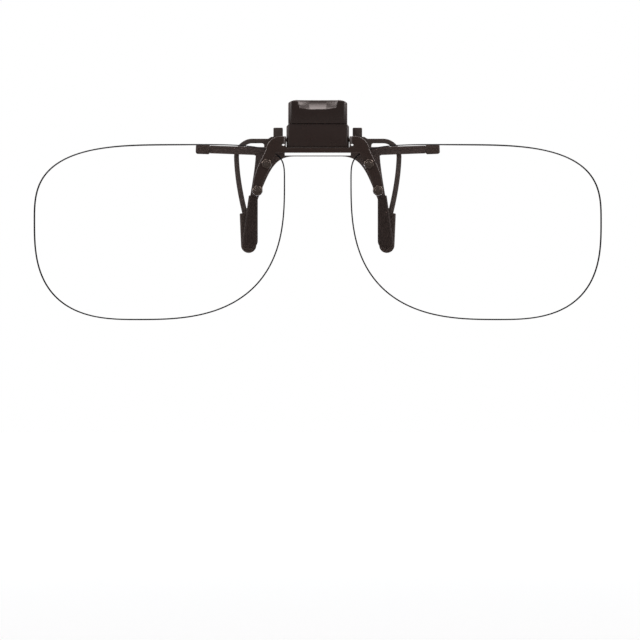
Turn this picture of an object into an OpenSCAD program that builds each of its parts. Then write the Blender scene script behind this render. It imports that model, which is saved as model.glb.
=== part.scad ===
// Clip-on, flip-up pair of rimless lenses. Millimetres, +Z up, the front faces -Y, +X is the wearer's left.
// The origin is the middle of the grip, halfway between the front pads and the rear pads.

/* [Lenses] */
// Width of one lens from its nose edge to its temple edge
lens_w = 58; // [50:0.5:62]
// Height of one lens
lens_h = 40.5; // [36:0.5:46]
// Gap between the two lenses at the nose
lens_gap = 15; // [13:0.5:18]
// Thickness of a lens
lens_t = 1.5; // [1:0.1:2]
// Radius of a lens's front curve
lens_curve_r = 265; // [200:5:400]
// Way in from the nose edge to the highest point of the rim
rim_top_run = 25.2; // [20:0.2:30]
// Way in from the nose edge to the lowest point of the rim
rim_bottom_run = 33.9; // [28:0.2:36]
// Drop from the rim's top to its widest point at the nose
rim_nose_drop = 9; // [7:0.2:12]
// Drop from the rim's top to its widest point at the temple
rim_temple_drop = 17.9; // [14:0.1:21]
// Squareness of the rim's upper nose corner
square_upper_nose = 4.3; // [2:0.1:5]
// Squareness of the rim's upper temple corner
square_upper_temple = 3.1; // [2:0.1:5]
// Squareness of the rim's lower temple corner
square_lower_temple = 2.8; // [2:0.1:5]
// Squareness of the rim's lower nose corner
square_lower_nose = 2.75; // [2:0.05:5]
// Way in from the nose edge to the crest of the lens's curve
crest_run = 12.5; // [8:0.5:20]
// Drop from the rim's top to the crest of the lens's curve
crest_drop = 11.3; // [8:0.1:16]

/* [Lens fixings] */
// Upper screw, way in from the lens's nose edge
upper_screw_run = 4.25; // [3.5:0.05:5]
// Upper screw, drop from the lens's top
upper_screw_drop = 4.6; // [4:0.1:5.5]
// Lower screw, way in from the lens's nose edge
lower_screw_run = 6.35; // [5.5:0.05:7]
// Lower screw, drop from the lens's top
lower_screw_drop = 10.7; // [9.5:0.1:12]
// Diameter of a lens screw
screw_d = 1.2; // [1:0.05:1.4]
// Diameter of a lens screw's head
screw_head_d = 2.2; // [2:0.05:2.6]
// Thickness of a lens screw's head
screw_head_t = 0.5; // [0.3:0.05:0.6]
// Way that a lens screw stands out of its nut
screw_end = 0.2; // [0:0.05:0.4]
// Hexagon nut, across its flats
nut_flats = 2; // [1.8:0.05:2.3]
// Thickness of a nut
nut_t = 0.8; // [0.6:0.05:1]
// Diameter of the washer behind the lens
washer_d = 2.4; // [2.2:0.05:2.8]
// Thickness of the washer
washer_t = 0.3; // [0.2:0.05:0.4]
// Wall of the washer's collar, which lines the hole in the lens
collar_wall = 0.25; // [0.2:0.05:0.3]

/* [Flip bridge] */
// Thickness of the bridge's sheet
bridge_t = 0.6; // [0.5:0.05:0.8]
// Height of the bar that crosses under the housing
crossbar_h = 1.05; // [0.9:0.05:1.3]
// Top of that bar below the flip axis
crossbar_drop = 1.9; // [1.8:0.05:2.1]
// Radius of the bridge's round shoulder
shoulder_r = 3.4; // [3:0.1:4]
// Height of an ear, which is bent back beside the housing
ear_h = 1.6; // [1.5:0.05:1.7]
// Inside radius of the ear's bend
ear_bend_r = 0.15; // [0.1:0.05:0.2]
// Radius of the round end of the bridge's leg
leg_end_r = 1.15; // [1.05:0.05:1.3]
// Diameter of the relief hole at the foot of the bend
relief_d = 0.6; // [0.4:0.05:0.7]
// Height of the flip axis above the grip
flip_axis_z = 20.25; // [19.5:0.05:21]
// Way from the flip axis forward to the back of the bridge's sheet
flip_setback = 1.6; // [1.5:0.05:1.9]
// Drop from the flip axis to the top of the lenses
lens_drop = 0.95; // [0.6:0.05:1.3]
// Way from the grip forward to the back of the bridge's sheet
lens_standoff = 5.5; // [5.3:0.1:7]
// Diameter of the flip axle
axle_d = 0.9; // [0.8:0.05:1]
// Side of the square in the middle of the axle
axle_square = 0.62; // [0.5:0.02:0.7]
// Length of that square
axle_square_w = 5; // [4:0.1:6]

/* [Housing and cap] */
// Width of the hinge housing
housing_w = 14.4; // [13.6:0.1:15.6]
// Way from the flip axis forward to the housing's front, and down to its flat bottom
chin_r = 1.6; // [1.4:0.05:1.65]
// Gap between the housing's round apron and the bridge that turns past it
apron_gap = 0.32; // [0.3:0.02:0.5]
// Height of the housing's flat top above the flip axis
housing_rise = 3.65; // [3.4:0.05:4.2]
// Roundness of the housing's upright front edges
housing_edge_r = 0.8; // [0.4:0.1:1.2]
// Bevel on the housing's upper side edges
housing_bevel = 0.6; // [0.3:0.05:0.8]
// Width of the finger cap
cap_w = 13.6; // [13:0.1:14.2]
// Height of the finger cap
cap_h = 5.4; // [5:0.1:6.5]
// Way that the cap's front stands proud of the housing
cap_proud = 0.4; // [0.2:0.05:0.6]
// Seam between housing and cap
cap_seam = 0.1; // [0.06:0.02:0.2]
// Roundness of the cap's upright front edges
cap_edge_r = 1.1; // [0.6:0.1:1.4]
// Run of the cap's rounded upper corners
cap_corner_w = 1.95; // [1:0.05:2.4]
// Drop of the cap's rounded upper corners
cap_corner_h = 0.78; // [0.5:0.02:1]
// Roundness of the cap's top edges, front and back
cap_top_r = 0.5; // [0.2:0.05:0.7]
// Width of the thumb scoop at the cap's top edge
scoop_w = 9.2; // [7:0.1:10]
// Height of the thumb scoop as seen from the front
scoop_h = 2.2; // [1.6:0.1:2.6]
// Depth of the thumb scoop at the cap's top
scoop_depth = 2; // [1.4:0.1:2.6]
// Hollow radius of the thumb scoop
scoop_r = 6; // [4:0.5:12]
// Width of the scoop's middle facet
scoop_mid_w = 3.9; // [2:0.1:6]
// Turn of the scoop's side facets towards its middle in degrees
scoop_turn = 12; // [4:1:20]
// Width of each of the two posts that hold the cap
post_w = 2.2; // [1.8:0.1:2.6]
// Height of those posts
post_h = 3.6; // [3:0.1:4]

/* [Detent spring] */
// Width of the folded leaf that holds the axle's square
leaf_w = 4.4; // [3.6:0.1:5]
// Thickness of the leaf
leaf_t = 0.18; // [0.12:0.02:0.22]
// Depth of the leaf's fold, front to back
leaf_depth = 1.6; // [1.4:0.05:1.7]

/* [Clamp] */
// Height of the clamp's axis above the grip
clamp_axis_z = 20.3; // [20:0.05:20.8]
// Way from the grip forward to the clamp's axis
clamp_setback = 1; // [0.9:0.05:1.1]
// Diameter of the clamp pin
pin_d = 0.8; // [0.7:0.05:0.9]
// Height of a rear jaw's ear
rear_ear_h = 1.7; // [1.5:0.05:1.8]
// Thickness of a pin's or axle's riveted end
rivet_t = 0.3; // [0.2:0.05:0.35]
// Way that a riveted end stands out over its hole
rivet_lip = 0.3; // [0.2:0.05:0.35]
// Full opening of the clamp in degrees
clamp_open = 18; // [14:1:20]
// Wire of the clamp spring
spring_wire = 0.36; // [0.3:0.02:0.4]
// Middle radius of the spring's coil
spring_r = 1; // [0.9:0.02:1.04]
// Turns of the spring
spring_turns = 5; // [4:1:5]
// Way from one turn to the next
spring_pitch = 0.78; // [0.77:0.01:0.85]
// Room for the spring in the housing, from side to side
spring_room_w = 5.4; // [5:0.1:6]
// Lean of the spring's rear leg in degrees
spring_lean = 19; // [18:0.5:19]
// Height of the spring's rear leg above the clamp's axis
spring_rear_leg = 5; // [4:0.1:5.5]
// Height of the spring's front leg above the clamp's axis
spring_front_leg = 2.4; // [1.8:0.1:2.8]

/* [Jaws] */
// Thickness of the jaws' sheet
jaw_t = 0.8; // [0.6:0.05:0.9]
// Reach of a brow bar from the middle
brow_reach = 27.7; // [25:0.1:30]
// Height of a brow bar
brow_h = 1.9; // [1.6:0.1:2.2]
// Rise of a brow bar from its root to its tip
brow_rise = 0.55; // [0:0.05:1]
// Top of the front jaw below the flip axis
jaw_drop = 1.6; // [1.55:0.05:1.65]
// Crown of the front jaw's arch below the flip axis
arch_drop = 3.7; // [3.6:0.05:4]
// Height of the thin strip that closes the arch
strip_h = 0.2; // [0.16:0.02:0.4]
// Height of the slot above that strip
slot_h = 0.64; // [0.4:0.02:0.7]
// Half of the slot's width
slot_half = 7.6; // [7:0.1:8]
// Depth of the flange that carries the front jaw
flange_depth = 3; // [2.9:0.05:3.2]
// Width of that flange
flange_w = 13.4; // [12.6:0.1:13.6]
// Width of the rear jaw's finger plate
finger_w = 12.4; // [11:0.1:12.8]
// Height of the finger plate's top above the clamp's axis
finger_rise = 8.4; // [7.5:0.1:8.8]
// Width of a rear post
rear_post_w = 2.2; // [1.8:0.1:2.4]
// Top of a rear post above the clamp's axis
rear_post_rise = 2.95; // [2.4:0.05:3.2]
// Height of a rear arm
rear_arm_h = 1.05; // [0.9:0.05:1.2]
// Width of a rear wire
rear_wire_w = 1.26; // [1.1:0.02:1.4]
// Reach of the rear loop from the middle
loop_reach = 19.4; // [18.4:0.1:20.4]
// Width of the blade in a pad
blade_w = 1.5; // [1.2:0.05:1.6]
// Diameter of the two screws under the housing
jaw_screw_d = 0.9; // [0.8:0.05:1]
// Way from the middle to each of those screws
jaw_screw_x = 5; // [4.6:0.1:5.4]

/* [Pads and tips] */
// Gap between the front and rear pads at rest
grip_gap = 0.3; // [0.3:0.05:0.6]
// Thickness of a pad, front to back
pad_t = 1.95; // [1.8:0.05:2.1]
// Way from the middle to a front pad's inner side
front_pad_x = 13.85; // [13:0.05:14.6]
// Width of a front pad at its top
front_pad_top_w = 2.05; // [1.95:0.05:2.3]
// Width of a front pad at its foot
front_pad_w = 3.5; // [3.2:0.05:3.8]
// Height of a front pad's top above the grip
front_pad_top = 7.6; // [6.6:0.1:8.2]
// Depth of a front pad's foot below the grip
front_pad_foot = 4.7; // [4:0.1:5.4]
// Way from the middle to a rear pad's inner side
rear_pad_x = 14.1; // [13.6:0.05:14.6]
// Width of a rear pad
rear_pad_w = 3.9; // [3.5:0.05:4.1]
// Height of a rear pad's top above the grip
rear_pad_top = 3.5; // [3:0.1:4]
// Depth of a rear pad's foot below the grip
rear_pad_foot = 5.65; // [5:0.05:6.4]
// Length of a brow tip
tip_len = 3.3; // [2.6:0.1:4]
// Height of a brow tip
tip_h = 2.2; // [2:0.05:2.5]
// Rubber round a brow tip's bar
tip_wall = 0.4; // [0.3:0.05:0.5]
// Thickness of the rear finger pad
finger_pad_t = 1.3; // [1:0.1:1.6]
// Number of grip ribs on the rear finger pad
finger_ribs = 4; // [3:1:5]

/* [Hidden] */

// Clearances: a pin that turns, a piece slid over another, an ear beside the housing, a spring in its room,
// two faces that touch
run_clear = 0.03;
seat_clear = 0.03;
ear_clear = 0.1;
spring_clear = 0.06;
touch_clear = 0.02;
// Way that a cutting shape runs past the faces that it cuts
cut_over = 1;
$fn = 48;

metal = [0.20, 0.17, 0.16];
moulding = [0.18, 0.15, 0.14];
rubber = [0.19, 0.16, 0.15];
steel = [0.62, 0.61, 0.60];
clear = [0.86, 0.90, 0.96, 0.35];

// Planes, counted from the grip
bridge_back_y = -lens_standoff;
bridge_front_y = bridge_back_y - bridge_t;
flip_y = bridge_back_y + flip_setback;
clamp_y = -clamp_setback;
front_jaw_y = -(grip_gap + pad_t + jaw_t) / 2;
rear_jaw_y = (grip_gap + pad_t - jaw_t) / 2;
front_jaw_back_y = front_jaw_y + jaw_t;

// Heights
lens_top_z = flip_axis_z - lens_drop;
ear_low_z = flip_axis_z - ear_h / 2;
ear_top_z = flip_axis_z + ear_h / 2;
crossbar_top_z = flip_axis_z - crossbar_drop;
housing_top_z = flip_axis_z + housing_rise;
chin_z = flip_axis_z - chin_r;
apron_r = norm([flip_setback, crossbar_drop]) - apron_gap;
apron_z = flip_axis_z - apron_r;
cap_low_z = housing_top_z + cap_seam;
cap_top_z = cap_low_z + cap_h;
jaw_top_z = flip_axis_z - jaw_drop;
arch_z = flip_axis_z - arch_drop;
slot_low_z = arch_z + strip_h;

// Sideways places
housing_x = housing_w / 2;
ear_in_x = housing_x + ear_clear;
ear_out_x = ear_in_x + bridge_t;
ear_bend_x = ear_out_x + ear_bend_r;
shoulder_x = ear_bend_x + 0.75 * relief_d;
rear_ear_out_x = ear_in_x + jaw_t;
rear_bend_r = 0.1;
rear_bend_x = rear_ear_out_x + rear_bend_r;
housing_front_y = flip_y - chin_r;
cap_front_y = housing_front_y - cap_proud;

function bezier(a, b, c, d, n) = [
    for (i = [0:n])
        let (t = i / n, s = 1 - t)
            s * s * s * a + 3 * s * s * t * b + 3 * s * t * t * c + t * t * t * d
];
function arc(centre, r, from, to, n) = [
    for (i = [0:n])
        let (a = from + (to - from) * i / n)
            centre + r * [cos(a), sin(a)]
];
function reversed(list) = [for (i = [len(list) - 1:-1:0]) list[i]];
function unit(v) = v / norm(v);
// An outline that is the same on both sides of the middle, from the points of its right half
function both_sides(half) = concat(half, [for (p = reversed(half)) if (p[0] != 0) [-p[0], p[1]]]);

// Directions along a path, and the outline of a strip that follows it
function heading(path, i) = unit(path[min(i + 1, len(path) - 1)] - path[max(i - 1, 0)]);
function side_points(path, w0, w1, side) = [
    for (i = [0:len(path) - 1])
        let (d = heading(path, i), w = w0 + (w1 - w0) * i / (len(path) - 1))
            path[i] + side * w / 2 * [-d[1], d[0]]
];
function strip_outline(path, w0, w1) =
    concat(side_points(path, w0, w1, 1), reversed(side_points(path, w0, w1, -1)));

module mirrored() {
    children();
    mirror([1, 0, 0]) children();
}

// An outline in x and z as a sheet whose front face lies at y
module sheet(y, t) {
    translate([0, y + t, 0]) rotate([90, 0, 0]) linear_extrude(t) children();
}

// An outline in y and z run sideways, from the middle or from x0 to x1
module across(w) {
    rotate([90, 0, 90]) linear_extrude(w, center = true) children();
}
module across_from(x0, x1) {
    translate([x0, 0, 0]) rotate([90, 0, 90]) linear_extrude(x1 - x0) children();
}
module rod_x(r, x0, x1, y, z) {
    translate([x0, y, z]) rotate([0, 90, 0]) cylinder(h = x1 - x0, r = r);
}
module rod_y(r, y0, y1, x, z) {
    translate([x, y0, z]) rotate([-90, 0, 0]) cylinder(h = y1 - y0, r = r);
}
module box(low, high) {
    translate(low) cube(high - low);
}

// A tube of round wire along points, closed at both ends
module wire(path, d, sides) {
    n = len(path);
    rings = [
        for (i = [0:n - 1])
            let (along = unit(path[min(i + 1, n - 1)] - path[max(i - 1, 0)]))
            let (u = unit(cross(along, [1, 0, 0])), v = cross(along, u))
            for (k = [0:sides - 1])
                let (a = 360 * k / sides)
                    path[i] + d / 2 * (cos(a) * u + sin(a) * v)
    ];
    quads = [
        for (i = [0:n - 2])
            for (k = [0:sides - 1])
                let (next = (k + 1) % sides)
                    [i * sides + k, i * sides + next, (i + 1) * sides + next, (i + 1) * sides + k]
    ];
    split = [
        for (q = quads)
            for (half = [[q[0], q[2], q[1]], [q[0], q[3], q[2]]])
                half
    ];
    start_cap = [for (k = [1:sides - 2]) [0, k, k + 1]];
    last = (n - 1) * sides;
    end_cap = [for (k = [1:sides - 2]) [last, last + k + 1, last + k]];
    polyhedron(points = rings, faces = concat(split, start_cap, end_cap));
}

// Lens. One quarter of the rim is a superellipse about the point where two of its widest lines cross
rim_steps = 20;
function rim_quarter(centre, a, b, k, from) = [
    for (i = [0:rim_steps - 1])
        let (t = from + 90 * i / rim_steps, c = cos(t), s = sin(t))
        let (r = pow(pow(abs(c), k) + pow(abs(s), k), -1 / k))
            centre + r * [a * c, b * s]
];
nose_x = lens_gap / 2;
nose_z = lens_top_z - rim_nose_drop;
temple_z = lens_top_z - rim_temple_drop;
temple_drop_left = lens_h - rim_temple_drop;
nose_drop_left = lens_h - rim_nose_drop;
rim = concat(
    rim_quarter([nose_x + rim_top_run, temple_z], lens_w - rim_top_run, rim_temple_drop,
        square_upper_temple, 0),
    rim_quarter([nose_x + rim_top_run, nose_z], rim_top_run, rim_nose_drop, square_upper_nose, 90),
    rim_quarter([nose_x + rim_bottom_run, nose_z], rim_bottom_run, nose_drop_left,
        square_lower_nose, 180),
    rim_quarter([nose_x + rim_bottom_run, temple_z], lens_w - rim_bottom_run, temple_drop_left,
        square_lower_temple, 270)
);
crest = [nose_x + crest_run, lens_top_z - crest_drop];
crest_y = bridge_back_y + touch_clear;
curve_centre_y = crest_y + lens_curve_r;
function lens_front_y(p) =
    curve_centre_y - sqrt(lens_curve_r * lens_curve_r - pow(p[0] - crest[0], 2) - pow(p[1] - crest[1], 2));
upper_screw = [nose_x + upper_screw_run, lens_top_z - upper_screw_drop];
lower_screw = [nose_x + lower_screw_run, lens_top_z - lower_screw_drop];
screws = [upper_screw, lower_screw];
collar_r = screw_d / 2 + run_clear + collar_wall;
washer_gap = 0.07;
function washer_y(p) = lens_front_y(p) + lens_t + washer_gap;

module curved_blank() {
    reach = lens_w + lens_h;
    translate([crest[0], curve_centre_y, crest[1]])
        rotate([90, 0, 0])
            rotate_extrude($fn = 180)
                intersection() {
                    difference() {
                        circle(lens_curve_r, $fn = 1440);
                        circle(lens_curve_r - lens_t, $fn = 1440);
                    }
                    translate([0, lens_curve_r / 2]) square([reach, lens_curve_r]);
                }
}
module lens() {
    color(clear)
        difference() {
            intersection() {
                curved_blank();
                sheet(crest_y - cut_over, lens_curve_r / 4) polygon(rim);
            }
            for (p = screws)
                rod_y(collar_r + run_clear, crest_y - cut_over, 0, p[0], p[1]);
        }
}
module lens_right() {
    mirror([1, 0, 0]) lens();
}
module lens_left() {
    lens();
}

// Lens fixings, four of each
module one_screw(p) {
    head_y = washer_y(p) + washer_t;
    end_y = bridge_front_y - nut_t - screw_end;
    rod_y(screw_d / 2, end_y, head_y, p[0], p[1]);
    rod_y(screw_head_d / 2, head_y, head_y + screw_head_t, p[0], p[1]);
}
module lens_screws() {
    color(steel)
        mirrored()
            for (p = screws)
                one_screw(p);
}
module one_nut(p) {
    difference() {
        translate([p[0], bridge_front_y, p[1]])
            rotate([90, 15, 0])
                cylinder(h = nut_t, r = nut_flats / 2 / cos(30), $fn = 6);
        rod_y(screw_d / 2 + run_clear, bridge_front_y - nut_t - cut_over, bridge_front_y + cut_over,
            p[0], p[1]);
    }
}
module lens_nuts() {
    color(metal)
        mirrored()
            for (p = screws)
                one_nut(p);
}
module one_washer(p) {
    face_y = washer_y(p);
    difference() {
        union() {
            rod_y(washer_d / 2, face_y, face_y + washer_t, p[0], p[1]);
            rod_y(collar_r, lens_front_y(p) + washer_gap, face_y, p[0], p[1]);
        }
        rod_y(screw_d / 2 + run_clear, crest_y - cut_over, face_y + washer_t + cut_over, p[0], p[1]);
    }
}
module lens_washers() {
    color(clear)
        mirrored()
            for (p = screws)
                one_washer(p);
}

// Flip bridge: one stamped sheet with a shoulder, a leg and a bent ear on each side
shoulder_mid = [shoulder_x, ear_top_z - shoulder_r];
module bridge_half() {
    low_z = crossbar_top_z - crossbar_h;
    chamfer = bridge_t / 2;
    // both edges of the leg, from the shoulder to the foot, each pulled into a curve by a share of its run
    shoulder = arc(shoulder_mid, shoulder_r, 90, 5, 14);
    out_top = shoulder[14];
    out_foot = lower_screw + [leg_end_r, 0];
    out_run = out_foot - out_top;
    leg_out = bezier(out_top, out_top + [0.61 * out_run[0], 0.417 * out_run[1]],
        out_foot - [0.08 * out_run[0], 0.428 * out_run[1]], out_foot, 12);
    in_top = [shoulder_x + leg_end_r, low_z];
    in_foot = lower_screw - [leg_end_r, 0];
    in_run = in_top - in_foot;
    leg_in = bezier(in_foot, in_foot + [-0.033 * in_run[0], 0.368 * in_run[1]],
        upper_screw - nut_flats * [0.625, 0.375], in_top, 12);
    foot = arc(lower_screw, leg_end_r, 0, -180, 16);
    polygon(concat(
        [[0, low_z], [0, crossbar_top_z], [ear_in_x - chamfer, crossbar_top_z],
            [ear_in_x, crossbar_top_z + chamfer], [ear_in_x, ear_low_z], [ear_bend_x, ear_low_z],
            [ear_bend_x, ear_top_z]],
        shoulder, leg_out, foot, leg_in
    ));
}
module ear_bend(x, y, r_in, r_out, z0, z1, quarter) {
    translate([x, y, z0])
        linear_extrude(z1 - z0)
            intersection() {
                difference() {
                    circle(r_out);
                    circle(r_in);
                }
                translate(quarter * r_out) square(r_out * 2, center = true);
            }
}
module flip_ear() {
    bend_y = bridge_back_y + ear_bend_r;
    ear_bend(ear_bend_x, bend_y, ear_bend_r, ear_bend_r + bridge_t, ear_low_z, ear_top_z, [-1, -1]);
    across_from(ear_in_x, ear_out_x) {
        translate([bend_y, ear_low_z]) square([flip_y - bend_y, ear_h]);
        translate([flip_y, flip_axis_z]) circle(ear_h / 2);
    }
}
module flip_bridge() {
    color(metal)
        difference() {
            union() {
                sheet(bridge_front_y, bridge_t) mirrored() bridge_half();
                mirrored() flip_ear();
            }
            rod_x(axle_d / 2 + seat_clear, -shoulder_x, shoulder_x, flip_y, flip_axis_z);
            mirrored() {
                rod_y(relief_d / 2, bridge_front_y - cut_over, bridge_back_y + cut_over, ear_out_x,
                    ear_low_z - relief_d / 2);
                for (p = screws)
                    rod_y(screw_d / 2 + run_clear, bridge_front_y - cut_over, bridge_back_y + cut_over,
                        p[0], p[1]);
            }
        }
}
module flip_axle() {
    end_x = ear_out_x + touch_clear;
    color(steel) {
        mirrored() {
            rod_x(axle_d / 2, axle_square_w / 2, end_x, flip_y, flip_axis_z);
            rod_x(axle_d / 2 + rivet_lip, end_x, end_x + rivet_t, flip_y, flip_axis_z);
        }
        translate([0, flip_y, flip_axis_z])
            cube([axle_square_w, axle_square, axle_square], center = true);
    }
}

// Hinge housing: a die-cast block with a round apron in front, two bores, a room for each spring and two posts
leaf_low_z = flip_axis_z + axle_square / 2 + touch_clear;
pocket_half_w = leaf_w / 2 + 2 * spring_clear;
pocket_wall = 0.5;
post_x = pocket_half_w + pocket_wall;
post_y0 = flip_y - 0.9;
post_y1 = clamp_y;
spring_room_r = spring_r + spring_wire / 2 + spring_clear;
module housing_side() {
    apron_start = 180 + acos(chin_r / apron_r);
    polygon(concat(
        [[0, housing_top_z], [housing_front_y, housing_top_z]],
        arc([flip_y, flip_axis_z], apron_r, apron_start, 270, 12),
        [[flip_y, chin_z], [0, chin_z]]
    ));
}
module plan_outline(w, front_y, r) {
    polygon(both_sides(concat(arc([w / 2 - r, front_y + r], r, 270, 360, 8), [[w / 2, 0]])));
}
module hinge_housing() {
    color(metal)
        difference() {
            union() {
                intersection() {
                    across(housing_w) housing_side();
                    translate([0, 0, apron_z - cut_over])
                        linear_extrude(apron_r + housing_rise + 2 * cut_over)
                            plan_outline(housing_w, housing_front_y, housing_edge_r);
                    sheet(housing_front_y - cut_over, lens_standoff + 2 * cut_over)
                        polygon([[-housing_x, apron_z], [-housing_x, housing_top_z - housing_bevel],
                            [-housing_x + 0.8 * housing_bevel, housing_top_z],
                            [housing_x - 0.8 * housing_bevel, housing_top_z],
                            [housing_x, housing_top_z - housing_bevel], [housing_x, apron_z]]);
                }
                mirrored()
                    box([post_x, post_y0, housing_top_z - 0.2],
                        [post_x + post_w, post_y1, housing_top_z + post_h]);
            }
            rod_x(axle_d / 2 + run_clear, -housing_w, housing_w, flip_y, flip_axis_z);
            rod_x(pin_d / 2 + seat_clear, -housing_w, housing_w, clamp_y, clamp_axis_z);
            detent_pocket();
            spring_room();
            mirrored()
                translate([jaw_screw_x, jaw_screw_y, chin_z - cut_over])
                    cylinder(h = cut_over + jaw_screw_len + 0.1, r = jaw_screw_d / 2 + seat_clear);
        }
}
module detent_pocket() {
    half_depth = leaf_depth / 2 + spring_clear;
    box([-pocket_half_w, flip_y - half_depth, flip_axis_z - axle_square],
        [pocket_half_w, flip_y + half_depth, housing_top_z + cut_over]);
}
module spring_room() {
    half = spring_room_w / 2;
    rod_x(spring_room_r, -half, half, clamp_y, clamp_axis_z);
    box([-half, clamp_y - spring_room_r, clamp_axis_z],
        [half, cut_over, clamp_axis_z + spring_front_leg + 0.3]);
    box([-half, clamp_y, clamp_axis_z - spring_room_r], [half, cut_over, clamp_axis_z]);
}
module detent_spring() {
    // a leaf folded twice: its low limb lies on the axle's square, its high limb under the cap
    r = 0.5;
    back_y = flip_y + leaf_depth / 2 - leaf_t / 2;
    front_y = flip_y - leaf_depth / 2 + leaf_t / 2;
    low_z = leaf_low_z + leaf_t / 2;
    high_z = cap_low_z - 0.05 - leaf_t / 2;
    path = concat(
        [[front_y, low_z]],
        arc([back_y - r, low_z + r], r, 270, 360, 8),
        arc([back_y - r, high_z - r], r, 0, 90, 8),
        [[front_y, high_z]]
    );
    color(steel) across(leaf_w) polygon(strip_outline(path, leaf_t, leaf_t));
}

// Finger cap: a moulded block on the housing's posts, with a hollow for the fingertip
module cap_front_outline() {
    w = cap_w / 2;
    corner = bezier([w, cap_top_z - cap_corner_h], [w - cap_corner_w * 0.05, cap_top_z - cap_corner_h * 0.62],
        [w - cap_corner_w * 0.48, cap_top_z - cap_corner_h * 0.06], [w - cap_corner_w, cap_top_z], 8);
    polygon(both_sides(concat([[w, cap_low_z]], corner)));
}
module cap_side() {
    r = cap_top_r;
    polygon(concat(
        [[0, cap_low_z], [cap_front_y, cap_low_z]],
        arc([cap_front_y + r, cap_top_z - r], r, 180, 90, 8),
        arc([-r, cap_top_z - r], r, 90, 0, 8)
    ));
}
module thumb_scoop() {
    foot = [cap_front_y, cap_top_z - scoop_h];
    brim = [cap_front_y + scoop_depth, cap_top_z];
    chord = brim - foot;
    middle = (foot + brim) / 2;
    rise = sqrt(scoop_r * scoop_r - chord * chord / 4);
    centre = middle + rise * unit([-chord[1], chord[0]]);
    // a side facet's rod meets the middle one in the plane that halves their turn
    hinge_x = scoop_mid_w / 2 - (middle[0] - centre[0]) * tan(scoop_turn / 2);
    narrow = 0.07 * scoop_w;
    intersection() {
        rod_x(scoop_r, -cap_w, cap_w, centre[0], centre[1]);
        side_facet(hinge_x, centre, 1);
        side_facet(hinge_x, centre, -1);
        sheet(cap_front_y - scoop_r, scoop_r + scoop_depth + cut_over)
            polygon([[-scoop_w / 2, cap_top_z], [-scoop_w / 2, cap_top_z + cut_over],
                [scoop_w / 2, cap_top_z + cut_over], [scoop_w / 2, cap_top_z],
                [scoop_w / 2 - narrow, cap_top_z - scoop_h - 0.1],
                [-scoop_w / 2 + narrow, cap_top_z - scoop_h - 0.1]]);
    }
}
module side_facet(hinge_x, centre, side) {
    translate([side * hinge_x, centre[0], centre[1]])
        rotate([0, 0, -side * scoop_turn])
            rod_x(scoop_r, -cap_w, cap_w, 0, 0);
}
module finger_cap() {
    color(moulding)
        difference() {
            intersection() {
                sheet(cap_front_y, -cap_front_y) cap_front_outline();
                across(cap_w) cap_side();
                translate([0, 0, cap_low_z - cut_over])
                    linear_extrude(cap_h + 2 * cut_over) plan_outline(cap_w, cap_front_y, cap_edge_r);
            }
            thumb_scoop();
            mirrored()
                box([post_x - seat_clear, post_y0 - seat_clear, cap_low_z - cut_over],
                    [post_x + post_w + seat_clear, post_y1 + seat_clear, housing_top_z + post_h + 0.1]);
        }
}

// Front jaw: a stamped sheet that hangs from a flange under the housing
blade_mid_x = front_pad_x + front_pad_w / 2;
// Rubber below the foot of a blade
pad_end = 1.1;
brow_root_x = 11;
brow_root_z = jaw_top_z - brow_h / 2;
brow_end = [brow_reach, brow_root_z + brow_rise];
brow_run = unit(brow_end - [brow_root_x, brow_root_z]);
tip_start = brow_end - (tip_len - tip_wall) * brow_run;
neck_h = tip_h - 2 * tip_wall;
jaw_screw_y = front_jaw_y - 1;
jaw_screw_len = 1.4;
jaw_screw_head_t = 0.4;
module front_jaw_half() {
    web_x = ear_out_x - 0.9;
    leg_top = [front_pad_x + 0.22 * front_pad_top_w, jaw_top_z - brow_h];
    leg_low = [front_pad_x + 0.83 * front_pad_top_w, front_pad_top];
    leg_run = leg_low - leg_top;
    foot = [blade_mid_x + 0.1, -front_pad_foot + pad_end + blade_w / 2];
    arch_top = [slot_half - 2.1, arch_z];
    arch_foot = [front_pad_x + touch_clear, front_pad_top - 0.7 * blade_w];
    arch_run = arch_foot - arch_top;
    arch = bezier(arch_top, arch_top + [0.55 * arch_run[0], 0],
        arch_foot + [-0.313 * arch_run[0], -0.65 * arch_run[1]], arch_foot, 16);
    leg_out = bezier(leg_top, leg_top + [0.16 * leg_run[0], 0.328 * leg_run[1]],
        leg_low - [0.4 * leg_run[0], 0.328 * leg_run[1]], leg_low, 10);
    polygon(concat(
        [[0, arch_z], [0, jaw_top_z - jaw_t], [web_x, jaw_top_z - jaw_t], [web_x, jaw_top_z],
            [brow_root_x, jaw_top_z]],
        leg_out,
        [leg_low - [0, blade_w / 4]],
        reversed(arch)
    ));
    polygon(strip_outline([[brow_root_x, brow_root_z], tip_start], brow_h, brow_h - 0.1));
    polygon(strip_outline([tip_start - 0.2 * brow_run, brow_end], neck_h, neck_h));
    blade_top = [front_pad_x + front_pad_top_w / 2 - 0.05, front_pad_top];
    blade_drop = blade_top[1] - foot[1];
    blade = bezier(blade_top, blade_top - [0, 0.28 * blade_drop], foot + [0, 0.37 * blade_drop], foot, 8);
    polygon(strip_outline(blade, front_pad_top_w - 0.75, blade_w));
    translate(foot) circle(blade_w / 2);
    corner_fillet(leg_top, 0.7);
}
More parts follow.
